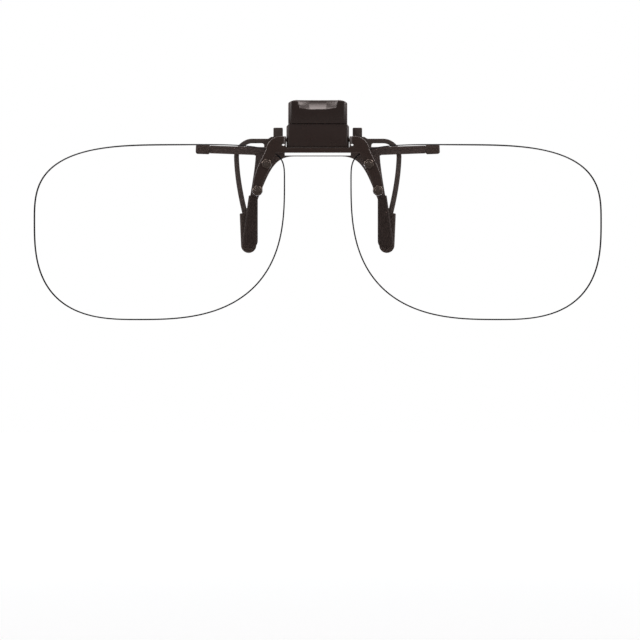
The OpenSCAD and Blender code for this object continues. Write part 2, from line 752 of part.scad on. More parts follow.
// A hollow corner between the underside of a bar and the outer side of a leg
module corner_fillet(corner, r) {
    difference() {
        translate(corner - [0.4, 0]) square([r + 0.4, 0.4]);
        translate(corner + [r + 0.1, -r + 0.35]) circle(r);
    }
}
module jaw_slot() {
    translate([-slot_half, slot_low_z]) square([2 * slot_half, slot_h]);
}
module flange_side() {
    r = jaw_t + 0.1;
    low = jaw_top_z - jaw_t;
    bend = [front_jaw_back_y - r, jaw_top_z - r];
    polygon(concat(
        [[front_jaw_back_y - flange_depth, low], [front_jaw_back_y - flange_depth, jaw_top_z]],
        arc(bend, r, 90, 0, 8),
        [[front_jaw_back_y, low - 0.2], [front_jaw_y, low - 0.2]],
        arc(bend, r - jaw_t, 0, 90, 4)
    ));
}
module front_jaw() {
    color(metal)
        difference() {
            union() {
                sheet(front_jaw_y, jaw_t)
                    difference() {
                        mirrored() front_jaw_half();
                        jaw_slot();
                    }
                across(flange_w) flange_side();
            }
            mirrored()
                translate([jaw_screw_x, jaw_screw_y, jaw_top_z - jaw_t - cut_over])
                    cylinder(h = jaw_t + 2 * cut_over, r = jaw_screw_d / 2 + seat_clear);
        }
}
module jaw_screws() {
    head_z = jaw_top_z - jaw_t;
    color(steel)
        mirrored()
            translate([jaw_screw_x, jaw_screw_y, head_z - jaw_screw_head_t]) {
                cylinder(h = jaw_screw_head_t, r = jaw_screw_d / 2 + 0.35);
                cylinder(h = jaw_screw_head_t + jaw_t + jaw_screw_len, r = jaw_screw_d / 2);
            }
}

// Pads: rubber sleeves with round sides and a round foot, slid over the blades of the jaws
module paddle(y, x_top, w_top, z_top, x_foot, w_foot, z_foot) {
    r = pad_t / 2;
    foot_mid = [x_foot + w_foot / 2, z_foot + w_foot / 2];
    foot = arc(foot_mid, w_foot / 2 - r, 180, 360, 6);
    intersection() {
        hull() {
            for (p = concat([[x_top + r, z_top], [x_top + w_top - r, z_top]], foot))
                translate([p[0], y, p[1]]) sphere(r, $fn = 24);
        }
        box([0, y - pad_t, z_foot - cut_over], [x_top + w_top + w_foot, y + pad_t, z_top]);
    }
}
module front_pad() {
    mid_y = -(grip_gap + pad_t) / 2;
    color(rubber)
        difference() {
            paddle(mid_y, front_pad_x, front_pad_top_w, front_pad_top, front_pad_x, front_pad_w,
                -front_pad_foot);
            sheet(front_jaw_y - seat_clear, jaw_t + 2 * seat_clear) front_jaw_half();
        }
}
module front_pad_left() {
    front_pad();
}
module front_pad_right() {
    mirror([1, 0, 0]) front_pad();
}
module brow_tip() {
    mid_y = front_jaw_y + jaw_t / 2;
    half_t = jaw_t / 2 + tip_wall;
    r = 0.5;
    ends = [tip_start + (r + seat_clear) * brow_run, brow_end + (tip_wall - r) * brow_run];
    color(rubber)
        difference() {
            hull() {
                for (p = ends)
                    for (up = [-1, 1])
                        for (back = [-1, 1])
                            translate([p[0], mid_y + back * (half_t - r), p[1] + up * (tip_h / 2 - r)])
                                sphere(r, $fn = 16);
            }
            sheet(front_jaw_y - seat_clear, jaw_t + 2 * seat_clear)
                polygon(strip_outline([tip_start - brow_run, brow_end + seat_clear * brow_run],
                    neck_h + 2 * seat_clear, neck_h + 2 * seat_clear));
        }
}
module brow_tip_left() {
    brow_tip();
}
module brow_tip_right() {
    mirror([1, 0, 0]) brow_tip();
}

// Rear jaw: a stamped sheet with two bent ears, two stop posts, two wire loops and a leaning finger plate
rear_post_x = rear_ear_out_x - 0.05;
web_out_x = rear_post_x + rear_post_w + 2.15;
arm_z = clamp_axis_z - 0.12;
rear_blade = [rear_pad_x + rear_pad_w / 2, -rear_pad_foot + pad_end + 0.1 + blade_w / 2];
tie_low_z = clamp_axis_z - 2.6;
tie_h = 1;
finger_bend_z = clamp_axis_z + 1;
module rear_jaw_half() {
    ear_top = clamp_axis_z + rear_ear_h / 2;
    translate([0, tie_low_z]) square([web_out_x, tie_h]);
    polygon([[rear_bend_x, tie_low_z], [rear_bend_x, ear_top], [rear_post_x + rear_post_w + 0.5, ear_top],
        [rear_post_x + rear_post_w + 1.2, arm_z + rear_arm_h / 2], [web_out_x, arm_z + rear_arm_h / 2],
        [web_out_x, tie_low_z]]);
    rear_post();
    translate([web_out_x, arm_z - rear_arm_h / 2]) window_corner(0.5);
    // the outer wire: along the arm, round its corner and down to the blade
    corner = loop_reach - rear_wire_w / 2;
    out_w = corner - rear_blade[0];
    drop_h = arm_z - rear_blade[1];
    join_h = drop_h / 4;
    turn_w = 3.4 * rear_arm_h;
    arm = [[web_out_x - rear_arm_h / 3, arm_z], [corner - turn_w, arm_z]];
    turn = bezier(arm[1], [corner - turn_w / 2, arm_z], [corner, arm_z - turn_w / 2],
        [corner, arm_z - turn_w], 10);
    drop = bezier(turn[10], [corner - 0.04 * out_w, arm_z - 0.36 * drop_h],
        rear_blade + [0.55 * out_w, 0.42 * drop_h], rear_blade + [0.165 * out_w, join_h], 12);
    outer = concat([arm[0]], turn, [for (i = [1:12]) drop[i]]);
    polygon(strip_outline(outer, rear_arm_h, rear_wire_w));
    // the inner wire: from the web to the blade
    in_w = rear_blade[0] - web_out_x;
    inner = bezier([web_out_x - rear_wire_w / 2, tie_low_z + tie_h / 2],
        [web_out_x + 0.165 * in_w, tie_low_z - 0.135 * drop_h],
        rear_blade + [-0.52 * in_w, 0.545 * drop_h], rear_blade + [-0.18 * in_w, join_h], 12);
    polygon(strip_outline(inner, rear_wire_w, rear_wire_w));
    polygon(strip_outline([rear_blade + [0, 1.4 * join_h], rear_blade + [0, 0.8 * join_h], rear_blade],
        rear_wire_w * 1.2, blade_w * 1.3));
    translate(rear_blade) circle(blade_w * 0.65);
}
// Fills a window's upper inner corner so that it is round
module window_corner(r) {
    difference() {
        translate([-0.1, -r]) square([r + 0.1, r + 0.1]);
        translate([r, -r]) circle(r);
    }
}
module rear_post() {
    r = 0.25;
    top = clamp_axis_z + rear_post_rise;
    low = clamp_axis_z + rear_ear_h / 2 - 0.1;
    polygon(concat(
        [[rear_post_x, low], [rear_post_x + rear_post_w, low]],
        arc([rear_post_x + rear_post_w - r, top - r], r, 0, 90, 4),
        arc([rear_post_x + r, top - r], r, 90, 180, 4)
    ));
}
module finger_side() {
    mid_y = rear_jaw_y + jaw_t / 2;
    bend = [mid_y, finger_bend_z];
    r = 1;
    run = r * tan(clamp_open / 2);
    lean = [sin(clamp_open), cos(clamp_open)];
    top = bend + (finger_rise - 1) / cos(clamp_open) * lean;
    path = concat(
        [[mid_y, tie_low_z]],
        arc(bend + [r, -run], r, 180, 180 - clamp_open, 4),
        [top]
    );
    polygon(strip_outline(path, jaw_t, jaw_t));
}
module rear_ear() {
    bend_y = rear_jaw_y - rear_bend_r;
    low = clamp_axis_z - rear_ear_h / 2;
    ear_bend(rear_bend_x, bend_y, rear_bend_r, rear_bend_r + jaw_t, low, low + rear_ear_h, [-1, 1]);
    across_from(ear_in_x, rear_ear_out_x) {
        translate([clamp_y, low]) square([bend_y - clamp_y, rear_ear_h]);
        translate([clamp_y, clamp_axis_z]) circle(rear_ear_h / 2);
    }
}
// Places of the finger pad's two pegs, on the leaning plate
module at_pegs() {
    mirrored()
        translate([finger_w / 2 - 2.2, rear_jaw_y + jaw_t / 2, finger_bend_z])
            rotate([-clamp_open, 0, 0])
                translate([0, 0, (finger_rise - 1) / 2 + 0.3])
                    rotate([-90, 0, 0])
                        children();
}
peg_r = 0.55;
module rear_jaw() {
    color(metal)
        difference() {
            union() {
                sheet(rear_jaw_y, jaw_t) mirrored() rear_jaw_half();
                across(finger_w) finger_side();
                mirrored() rear_ear();
            }
            rod_x(pin_d / 2 + run_clear, -rear_bend_x, rear_bend_x, clamp_y, clamp_axis_z);
            at_pegs() cylinder(h = 3 * jaw_t, r = peg_r + seat_clear, center = true);
        }
}
module rear_finger_pad() {
    h = (finger_rise - 1) / cos(clamp_open) - 1.4;
    pitch = h / (finger_ribs + 1);
    color(moulding) {
        translate([0, rear_jaw_y + jaw_t / 2, finger_bend_z])
            rotate([-clamp_open, 0, 0])
                translate([0, jaw_t / 2 + seat_clear, 1.2])
                    across(finger_w + 0.4)
                        union() {
                            square([finger_pad_t - 0.4, h]);
                            translate([finger_pad_t - 0.4, h]) circle(0.4);
                            for (i = [1:finger_ribs])
                                translate([finger_pad_t - 0.4, i * pitch]) circle(0.4);
                        }
        at_pegs() translate([0, 0, -jaw_t / 2]) cylinder(h = jaw_t + 0.2, r = peg_r);
    }
}
module rear_pad() {
    mid_y = (grip_gap + pad_t) / 2;
    color(rubber)
        difference() {
            paddle(mid_y, rear_pad_x, rear_pad_w, rear_pad_top, rear_pad_x + 0.1, rear_pad_w - 0.4,
                -rear_pad_foot);
            sheet(rear_jaw_y - seat_clear, jaw_t + 2 * seat_clear) rear_jaw_half();
        }
}
module rear_pad_left() {
    rear_pad();
}
module rear_pad_right() {
    mirror([1, 0, 0]) rear_pad();
}

// Clamp pin and the torsion spring wound round it
module clamp_pin() {
    end_x = rear_ear_out_x + touch_clear;
    color(steel) {
        rod_x(pin_d / 2, -end_x, end_x, clamp_y, clamp_axis_z);
        mirrored() rod_x(pin_d / 2 + rivet_lip, end_x, end_x + rivet_t, clamp_y, clamp_axis_z);
    }
}
module clamp_spring() {
    steps = 16;
    centre = [0, clamp_y, clamp_axis_z];
    turn = 360 * spring_turns + 180 - spring_lean;
    count = ceil(turn / 360 * steps);
    // the coil starts in front of the pin, passes under it and ends behind it
    coil = [
        for (i = [0:count])
            let (run = turn * i / count, a = 180 + run)
                centre + [spring_pitch * (run - turn / 2) / 360, spring_r * cos(a), spring_r * sin(a)]
    ];
    first = coil[0];
    last = coil[count];
    front_end = [first[0], first[1], clamp_axis_z + spring_front_leg];
    rear_end = last + (spring_rear_leg + spring_r * sin(spring_lean)) / cos(spring_lean)
        * [0, sin(spring_lean), cos(spring_lean)];
    color(steel) wire(concat([front_end], coil, [rear_end]), spring_wire, 8);
}

hinge_housing();
finger_cap();
detent_spring();
front_jaw();
jaw_screws();
front_pad_left();
front_pad_right();
brow_tip_left();
brow_tip_right();
clamp_pin();
clamp_spring();
rear_jaw();
rear_finger_pad();
rear_pad_left();
rear_pad_right();
flip_bridge();
flip_axle();
lens_left();
lens_right();
lens_screws();
lens_nuts();
lens_washers();
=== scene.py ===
# %% [markdown]
# # A clip-on pair of flip-up lenses
# The real object is a pair of clear rimless lenses on a small black clamp. The clamp grips the bridge of
# somebody's own glasses, and the lenses turn up out of the way. The mechanism's exact sizes come from the
# imported CAD part. This lesson gives it finishes, makes the soft and the glassy pieces anew, and sets up the
# picture: camera, light and floor.
#
# Everything is in metres, +Z is up and the front faces -Y.

# %% Load the imported part
import math

import bmesh
import bpy
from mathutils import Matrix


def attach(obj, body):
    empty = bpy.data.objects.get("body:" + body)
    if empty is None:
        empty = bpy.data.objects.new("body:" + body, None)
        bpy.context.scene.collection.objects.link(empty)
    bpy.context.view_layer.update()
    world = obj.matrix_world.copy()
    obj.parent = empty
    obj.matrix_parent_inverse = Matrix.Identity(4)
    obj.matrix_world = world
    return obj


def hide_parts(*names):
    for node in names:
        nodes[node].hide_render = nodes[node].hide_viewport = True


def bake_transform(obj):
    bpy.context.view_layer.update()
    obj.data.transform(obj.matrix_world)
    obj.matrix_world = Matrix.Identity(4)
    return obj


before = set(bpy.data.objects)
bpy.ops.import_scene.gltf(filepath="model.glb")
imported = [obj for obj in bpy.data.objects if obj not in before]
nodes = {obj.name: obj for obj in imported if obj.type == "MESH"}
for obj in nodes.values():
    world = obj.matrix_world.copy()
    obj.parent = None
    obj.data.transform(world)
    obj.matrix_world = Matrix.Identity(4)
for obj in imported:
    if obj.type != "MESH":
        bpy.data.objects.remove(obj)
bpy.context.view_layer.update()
MM = 0.001

# %% [markdown]
# ## Two helpers
# Every finish and every rule-made shape below is a node tree. One helper adds a node: its own settings come
# as keywords, and its inputs as a dictionary where a plain value is typed in and another node is linked.
# The other helper turns an sRGB colour, as a paint program shows it, into the linear one that Cycles uses.

# %% Helpers
def add(tree, kind, sockets=None, **settings):
    node = tree.nodes.new(kind)
    for name, value in settings.items():
        setattr(node, name, value)
    for name, value in (sockets or {}).items():
        if isinstance(value, bpy.types.Node):
            value = value.outputs[0]
        if isinstance(value, bpy.types.NodeSocket):
            tree.links.new(value, node.inputs[name])
        else:
            node.inputs[name].default_value = value
    return node


def colour(code):
    parts = [int(code[i:i + 2], 16) / 255 for i in (1, 3, 5)]
    return [p / 12.92 if p <= 0.04045 else ((p + 0.055) / 1.055) ** 2.4 for p in parts] + [1.0]


def new_finish(name, **sockets):
    """A material with a Principled surface. Keywords are its inputs, with _ for a space."""
    material = bpy.data.materials.new(name)
    material.use_nodes = True
    surface = material.node_tree.nodes["Principled BSDF"]
    for key, value in sockets.items():
        surface.inputs[key.replace("_", " ")].default_value = value
    return material, material.node_tree, surface


# %% [markdown]
# ## Black lacquer on metal
# The hinge housing is die-cast zinc and the jaws and the flip bridge are stamped steel sheet. Both are
# dipped in a thin black lacquer. It is a warm black, nearly without colour of its own, so nearly all that
# the eye sees is the white room mirrored weakly in it: a grey sheen that grows at the edges. Lacquer never
# dries quite flat. A fine noise, about 0.4 mm from bump to bump, gives that orange peel,
# and a slower one makes some places duller, as handling does. The two jaws get a greyer black than the
# bridge: painted light, which lifts them out of the shade they lie in behind the bridge.

# %% Lacquer
def lacquer(name, base, gloss, peel_mm, peel_height_mm):
    material, tree, surface = new_finish(name, Base_Color=colour(base), Specular_IOR_Level=0.4)
    place = add(tree, "ShaderNodeTexCoord").outputs["Object"]
    peel = add(tree, "ShaderNodeTexNoise", {"Vector": place, "Scale": 1 / (peel_mm * MM), "Detail": 2.0})
    bump = add(tree, "ShaderNodeBump", {"Height": peel, "Distance": peel_height_mm * MM, "Strength": 1.0})
    dull = add(tree, "ShaderNodeTexNoise", {"Vector": place, "Scale": 1 / (2.5 * MM), "Detail": 3.0})
    rough = add(tree, "ShaderNodeMapRange", {"Value": dull, "To Min": gloss - 0.05, "To Max": gloss + 0.07})
    tree.links.new(bump.outputs[0], surface.inputs["Normal"])
    tree.links.new(rough.outputs[0], surface.inputs["Roughness"])
    return material


cast_lacquer = lacquer("lacquered cast zinc", "#241713", 0.28, peel_mm=0.45, peel_height_mm=0.001)
sheet_lacquer = lacquer("lacquered steel sheet", "#281b16", 0.24, peel_mm=0.4, peel_height_mm=0.0005)
# The jaws' greyer bases are painted light, against the shade behind the bridge.
front_jaw_lacquer_painted_light = lacquer("lacquered steel sheet, front jaw, painted lighter", "#3a2f2c", 0.28, peel_mm=0.4, peel_height_mm=0.0004)
rear_jaw_lacquer_painted_light = lacquer("lacquered steel sheet, rear jaw, painted lighter", "#3f3531", 0.32, peel_mm=0.4, peel_height_mm=0.0004)
for finish in (cast_lacquer, sheet_lacquer, front_jaw_lacquer_painted_light, rear_jaw_lacquer_painted_light):
    print("  lacquer:", finish.name)

# %% [markdown]
# ## Moulded nylon
# The finger cap and the ribbed rear finger pad are black glass-filled nylon. The mould's walls are spark
# eroded, which leaves a fine even grain and a soft satin shine instead of a mirror.

# %% Nylon
cap_nylon, tree, surface = new_finish(
    "moulded nylon", Base_Color=colour("#221714"), Specular_IOR_Level=0.36)
place = add(tree, "ShaderNodeTexCoord").outputs["Object"]
grain = add(tree, "ShaderNodeTexNoise", {"Vector": place, "Scale": 1 / (0.16 * MM), "Detail": 3.0})
bump = add(tree, "ShaderNodeBump", {"Height": grain, "Distance": 0.0006 * MM, "Strength": 1.0})
wear = add(tree, "ShaderNodeTexNoise", {"Vector": place, "Scale": 1 / (3.0 * MM), "Detail": 2.0})
rough = add(tree, "ShaderNodeMapRange", {"Value": wear, "To Min": 0.23, "To Max": 0.30})
tree.links.new(bump.outputs[0], surface.inputs["Normal"])
tree.links.new(rough.outputs[0], surface.inputs["Roughness"])

# %% [markdown]
# ## Silicone rubber
# The four pads and the two brow tips are moulded silicone, dyed black. Rubber is duller than lacquer and
# holds a little lint, which lifts its edges: a touch of sheen does that. The rear pads and the brow tips get
# a greyer black; on the rear pads that is painted light, against the shade they lie in behind the front pads.

# %% Rubber
def silicone(name, base):
    material, tree, surface = new_finish(
        name, Base_Color=colour(base), Specular_IOR_Level=0.1, Sheen_Weight=0.01, Sheen_Roughness=0.4)
    place = add(tree, "ShaderNodeTexCoord").outputs["Object"]
    skin = add(tree, "ShaderNodeTexNoise", {"Vector": place, "Scale": 1 / (1.2 * MM), "Detail": 1.0})
    bump = add(tree, "ShaderNodeBump", {"Height": skin, "Distance": 0.0004 * MM, "Strength": 1.0})
    rough = add(tree, "ShaderNodeMapRange", {"Value": skin, "To Min": 0.56, "To Max": 0.66})
    tree.links.new(bump.outputs[0], surface.inputs["Normal"])
    tree.links.new(rough.outputs[0], surface.inputs["Roughness"])
    return material


rubber = silicone("silicone rubber", "#29201d")
# A greyer black: on the rear pads it is painted light, against the shade behind the front pads.
greyer_rubber_painted_light = silicone("silicone rubber, greyer, painted light on the rear pads", "#3a302c")
print("rubbers:", rubber.name, "and", greyer_rubber_painted_light.name)

# %% [markdown]
# ## Steel and blackened brass
# Pins, springs and screws are drawn or turned steel. Drawing leaves fine lines along a wire, which a
# stretched noise gives as streaks in the roughness. The hexagon nuts are brass with a thin black plating,
# still a metal, so their corners glint.

# %% Bright and blackened metal
steel, tree, surface = new_finish("bright steel", Base_Color=colour("#c3bfba"), Metallic=1.0)
place = add(tree, "ShaderNodeTexCoord").outputs["Object"]
drawn = add(tree, "ShaderNodeMapping", {"Vector": place, "Scale": (0.1, 1.0, 1.0)})
lines = add(tree, "ShaderNodeTexNoise", {"Vector": drawn, "Scale": 1 / (0.08 * MM), "Detail": 2.0})
rough = add(tree, "ShaderNodeMapRange", {"Value": lines, "To Min": 0.20, "To Max": 0.38})
tree.links.new(rough.outputs[0], surface.inputs["Roughness"])

black_plate, tree, surface = new_finish("black plated brass", Base_Color=colour("#5a534e"), Metallic=1.0)
place = add(tree, "ShaderNodeTexCoord").outputs["Object"]
turning = add(tree, "ShaderNodeTexNoise", {"Vector": place, "Scale": 1 / (0.3 * MM), "Detail": 3.0})
rough = add(tree, "ShaderNodeMapRange", {"Value": turning, "To Min": 0.26, "To Max": 0.42})
tree.links.new(rough.outputs[0], surface.inputs["Roughness"])

# %% [markdown]
# ## Clear plastic
# A lens is cast clear resin with a coating thinner than a wavelength of light. Bare resin, index 1.5, mirrors
# a twenty-fifth of the light that falls on it, and the coating takes away nearly all of that. So the index is
# set just above that of air, which mirrors only at a very flat slant, and a lens this thin and even bends no
# light that would show. A film's colours could be worked out instead, but at a slant they gave the black pads
# behind it a brown cast, and any stronger mirror made them grainy. Where the rim has been ground it is matt,
# and it is coloured nearly black: painted shade, standing in for the light that the edge bends away, so it
# looks like a dark line against the light. The washers behind the lenses are clear nylon, slightly milky.

# %% Lens and washer
lens_clear, tree, surface = new_finish(
    "coated clear resin", Base_Color=colour("#ffffff"), Roughness=0.0, IOR=1.002, Transmission_Weight=1.0)


def ground_resin(name, base, roughness, shine):
    material, tree, surface = new_finish(name, Base_Color=colour(base), Specular_IOR_Level=shine)
    place = add(tree, "ShaderNodeTexCoord").outputs["Object"]
    scratch = add(tree, "ShaderNodeTexNoise", {"Vector": place, "Scale": 1 / (0.2 * MM), "Detail": 4.0})
    rough = add(tree, "ShaderNodeMapRange", {"Value": scratch, "To Min": roughness, "To Max": roughness + 0.2})
    tree.links.new(rough.outputs[0], surface.inputs["Roughness"])
    return material


# The ground rim is coloured nearly black: painted shade for the light that the edge bends away.
bevel_painted_dark = ground_resin("ground bevel", "#0e0f12", 0.5, 0.04)
edge_painted_dark = ground_resin("ground edge", "#2b2d31", 0.45, 0.1)

washer_clear, tree, surface = new_finish(
    "clear nylon", Base_Color=colour("#eef1f6"), Roughness=0.25, IOR=1.53, Transmission_Weight=0.9)

# %% [markdown]
# ## Finishes for the CAD nodes
# A stamped, cast or moulded edge is never knife sharp: tumbling and lacquer round it by a tenth of a
# millimetre or less. That tiny round is what draws the light lines along the edges of the black parts. The
# CAD nodes come as loose triangles, so three modifiers stay on each: one joins the triangles, one melts
# flat ones together, and a bevel rounds every edge that is sharper than 30 degrees. Where a bent ear meets
# its flat sheet the two edges run into each other at a very small angle; that spot is left sharp.

# %% Dress the CAD nodes
def soften(node, width_mm, spare=None, seam=None, facet=None):
    """Rounds a node's sharp edges. spare is (x, z, half width, half height) in mm of a spot left sharp, and
    edges at the height seam get a quarter of the rounding. facet is (half width, lowest z): in there a change
    of the facets' sideways turn stays a crisp line."""
    mesh = node.data
    spot = [tuple(round(c / (0.001 * MM)) for c in v.co) for v in mesh.vertices]
    sides = {}
    for face in mesh.polygons:
        face.use_smooth = True
        for a, b in face.edge_keys:
            sides.setdefault(frozenset((spot[a], spot[b])), []).append(face.normal.copy())
    weight = mesh.attributes.new("bevel_weight_edge", "FLOAT", "EDGE")
    rounded = 0
    for edge in mesh.edges:
        a, b = edge.vertices
        pair = sides[frozenset((spot[a], spot[b]))]
        middle = (mesh.vertices[a].co + mesh.vertices[b].co) / 2 / MM
        if len(pair) != 2 or pair[0].angle(pair[1], 0) < math.radians(30):
            inside = facet and abs(middle.x) < facet[0] and middle.z > facet[1]
            edge.use_edge_sharp = bool(inside and len(pair) == 2 and abs(pair[0].x - pair[1].x) > 0.08)
            continue
        if spare and abs(abs(middle.x) - spare[0]) < spare[2] and abs(middle.z - spare[1]) < spare[3]:
            edge.use_edge_sharp = True
            continue
        at_seam = seam and all(abs(mesh.vertices[v].co.z / MM - seam) < 0.02 for v in (a, b))
        weight.data[edge.index].value = 0.25 if at_seam else 1.0
        rounded += 1
    join = node.modifiers.new("join triangles", "WELD")
    join.merge_threshold = 0.001 * MM
    melt = node.modifiers.new("melt flat ones", "DECIMATE")
    melt.decimate_type = "DISSOLVE"
    melt.angle_limit = math.radians(0.4)
    rounding = node.modifiers.new("round edges", "BEVEL")
    rounding.width = width_mm * MM
    rounding.segments = 3
    rounding.limit_method = "WEIGHT"
    rounding.use_clamp_overlap = False
    rounding.loop_slide = False
    rounding.harden_normals = True
    return rounded // 2


dress = {
    "hinge_housing": (cast_lacquer, 0.10), "finger_cap": (cap_nylon, 0.12),
    "rear_finger_pad": (cap_nylon, 0.10), "front_jaw": (front_jaw_lacquer_painted_light, 0.09),
    "rear_jaw": (rear_jaw_lacquer_painted_light, 0.09), "flip_bridge": (sheet_lacquer, 0.15), "detent_spring": (steel, 0.02),
    "jaw_screws": (steel, 0.05), "clamp_pin": (steel, 0.06), "flip_axle": (steel, 0.06),
}
SEAM_MM = {"hinge_housing": 23.9, "finger_cap": 24.0, "flip_bridge": 18.35}
FACET_MM = {"finger_cap": (4.2, 26.9)}
SPARE_MM = {"flip_bridge": (7.8, 19.45, 0.9, 0.4), "rear_jaw": (8.2, 20.3, 0.5, 1.2)}
for name, (finish, width_mm) in dress.items():
    nodes[name].data.materials[0] = finish
    count = soften(nodes[name], width_mm, SPARE_MM.get(name), SEAM_MM.get(name), FACET_MM.get(name))
    print(f"  {name}: {count} edges rounded")


# %% [markdown]
# ## From a rule to a piece
# The lenses, the spring and the fixings are made by Geometry Nodes. A tree gets named inputs, a modifier
# runs it once on a bare mesh, and the result is kept as an ordinary mesh, welded shut with its faces outward.

# %% Running a tree
def new_tree(name, inputs):
    """A tree with its inputs, from {name: (socket type, default)}, and its input and output nodes."""
    tree = bpy.data.node_groups.new(name, "GeometryNodeTree")
    tree.is_modifier = True
    tree.interface.new_socket("Geometry", in_out="INPUT", socket_type="NodeSocketGeometry")
    for label, (kind, default) in inputs.items():
        socket = tree.interface.new_socket(label, in_out="INPUT", socket_type="NodeSocket" + kind)
        if default is not None:
            socket.default_value = default
    tree.interface.new_socket("Geometry", in_out="OUTPUT", socket_type="NodeSocketGeometry")
    return tree, add(tree, "NodeGroupInput").outputs, add(tree, "NodeGroupOutput")


def run_tree(name, tree, start_mesh, **values):
    """One piece made by a tree. Keywords set the modifier's inputs, with _ for a space."""
    piece = bpy.data.objects.new(name, start_mesh)
    bpy.context.scene.collection.objects.link(piece)
    maker = piece.modifiers.new("maker", "NODES")
    maker.node_group = tree
    names = {s.name: s.identifier for s in tree.interface.items_tree if s.in_out == "INPUT"}
    for key, value in values.items():
        maker[names[key.replace("_", " ")]] = value
    depsgraph = bpy.context.evaluated_depsgraph_get()
    made = bpy.data.meshes.new_from_object(piece.evaluated_get(depsgraph), depsgraph=depsgraph)
    piece.modifiers.remove(maker)
    piece.data = made
    close_up(made)
    return piece


def close_up(mesh, crease=30):
    """Merges doubles, turns faces outward and shades smooth with a crease at sharp edges."""
    work = bmesh.new()
    work.from_mesh(mesh)
    bmesh.ops.remove_doubles(work, verts=work.verts, dist=0.0005 * MM)
    bmesh.ops.recalc_face_normals(work, faces=work.faces)
    open_edges = sum(1 for e in work.edges if not e.is_manifold)
    print(f"  {mesh.name}: {len(work.faces)} faces, {open_edges} open edges")
    work.to_mesh(mesh)
    work.free()
    mesh.shade_smooth()
    mesh.set_sharp_from_angle(angle=math.radians(crease))


# %% [markdown]
# ## The lens
# A lens is cut from a round dome: its front lies on a ball of 265 mm radius and its back on a smaller ball
# with the same centre. Its rim is four quarters of a superellipse, each with its own reach and squareness,
# that meet where the rim is widest. The tree bends a flat grid into that: across the grid goes round the
# rim, and up the grid goes from the front's middle out over the ground edge and back to the rear's middle.

# %% Lens tree
RIM_QUARTERS = {  # mm: centre across, squareness, centre up; then reach across and reach up
    "Upper temple": ((32.7, 3.1, 1.4), (32.8, 0, 17.9)),
    "Upper nose": ((32.7, 4.3, 10.3), (25.2, 0, 9.0)),
    "Lower nose": ((41.4, 2.75, 10.3), (33.9, 0, 31.5)),
    "Lower temple": ((41.4, 2.8, 1.4), (24.1, 0, 22.6)),
}
lens_inputs = {}
for label in RIM_QUARTERS:
    lens_inputs[label + " centre"] = ("Vector", None)
    lens_inputs[label + " reach"] = ("Vector", None)
lens_inputs.update({
    "Middle": ("Vector", None), "Crest": ("Vector", None), "Front radius": ("Float", 0.265),
    "Thickness": ("Float", 0.0015), "Ground bevel": ("Float", 0.0002), "Side": ("Float", 1.0),
    "Rim steps": ("Int", 240), "Face rings": ("Int", 14), "Upper hole": ("Vector", None),
    "Lower hole": ("Vector", None), "Hole radius": ("Float", 0.0009), "Face finish": ("Material", None),
    "Bevel finish": ("Material", None), "Edge finish": ("Material", None),
})
tree, given, out = new_tree("lens", lens_inputs)
MATH, VECTOR = "ShaderNodeMath", "ShaderNodeVectorMath"
round_count = add(tree, MATH, {0: given["Rim steps"], 1: 1.0}, operation="ADD")
row_count = add(tree, MATH, {0: given["Face rings"], 1: 2.0, 2: 4.0}, operation="MULTIPLY_ADD")
grid = add(tree, "GeometryNodeMeshGrid", {"Vertices X": round_count, "Vertices Y": row_count})
flat = add(tree, "ShaderNodeSeparateXYZ", {0: add(tree, "GeometryNodeInputPosition")})
share_round = add(tree, MATH, {0: flat.outputs["X"], 1: 0.5}, operation="ADD")
share_up = add(tree, MATH, {0: flat.outputs["Y"], 1: 0.5}, operation="ADD")
last_row = add(tree, MATH, {0: row_count, 1: 1.0}, operation="SUBTRACT")
row = add(tree, MATH, {0: add(tree, MATH, {0: share_up, 1: last_row}, operation="MULTIPLY")}, operation="ROUND")
keep_row = add(tree, "GeometryNodeCaptureAttribute", {"Geometry": grid})
keep_row.capture_items.new("FLOAT", "Row")
tree.links.new(row.outputs[0], keep_row.inputs["Row"])

# the rim, one quarter at a time
quarter = add(tree, MATH, {0: add(tree, MATH, {0: share_round, 1: 3.9999}, operation="MULTIPLY")},
              operation="FLOOR")
picked = []
for part in (" centre", " reach"):
    pick = add(tree, "GeometryNodeIndexSwitch", {"Index": quarter}, data_type="VECTOR")
    pick.index_switch_items.new()
    pick.index_switch_items.new()
    for number, label in enumerate(RIM_QUARTERS):
        tree.links.new(given[label + part], pick.inputs[str(number)])
    picked.append(add(tree, "ShaderNodeSeparateXYZ", {0: pick}))
centre, reach = picked
turn = add(tree, MATH, {0: share_round, 1: 2 * math.pi}, operation="MULTIPLY")
across = add(tree, MATH, {0: turn}, operation="COSINE")
up = add(tree, MATH, {0: turn}, operation="SINE")
powers = [
    add(tree, MATH, {0: add(tree, MATH, {0: way}, operation="ABSOLUTE"), 1: centre.outputs["Y"]},
        operation="POWER")
    for way in (across, up)
]
both = add(tree, MATH, {0: powers[0], 1: powers[1]}, operation="ADD")
root = add(tree, MATH, {0: -1.0, 1: centre.outputs["Y"]}, operation="DIVIDE")
length = add(tree, MATH, {0: both, 1: root}, operation="POWER")
spread = add(tree, "ShaderNodeCombineXYZ", {"X": across, "Z": up})
arm = add(tree, VECTOR, {0: pick, 1: spread}, operation="MULTIPLY")
hub = add(tree, "ShaderNodeCombineXYZ", {"X": centre.outputs["X"], "Z": centre.outputs["Z"]})
arm = add(tree, VECTOR, {0: arm, "Scale": length}, operation="SCALE")
rim = add(tree, VECTOR, {0: arm, 1: hub}, operation="ADD")

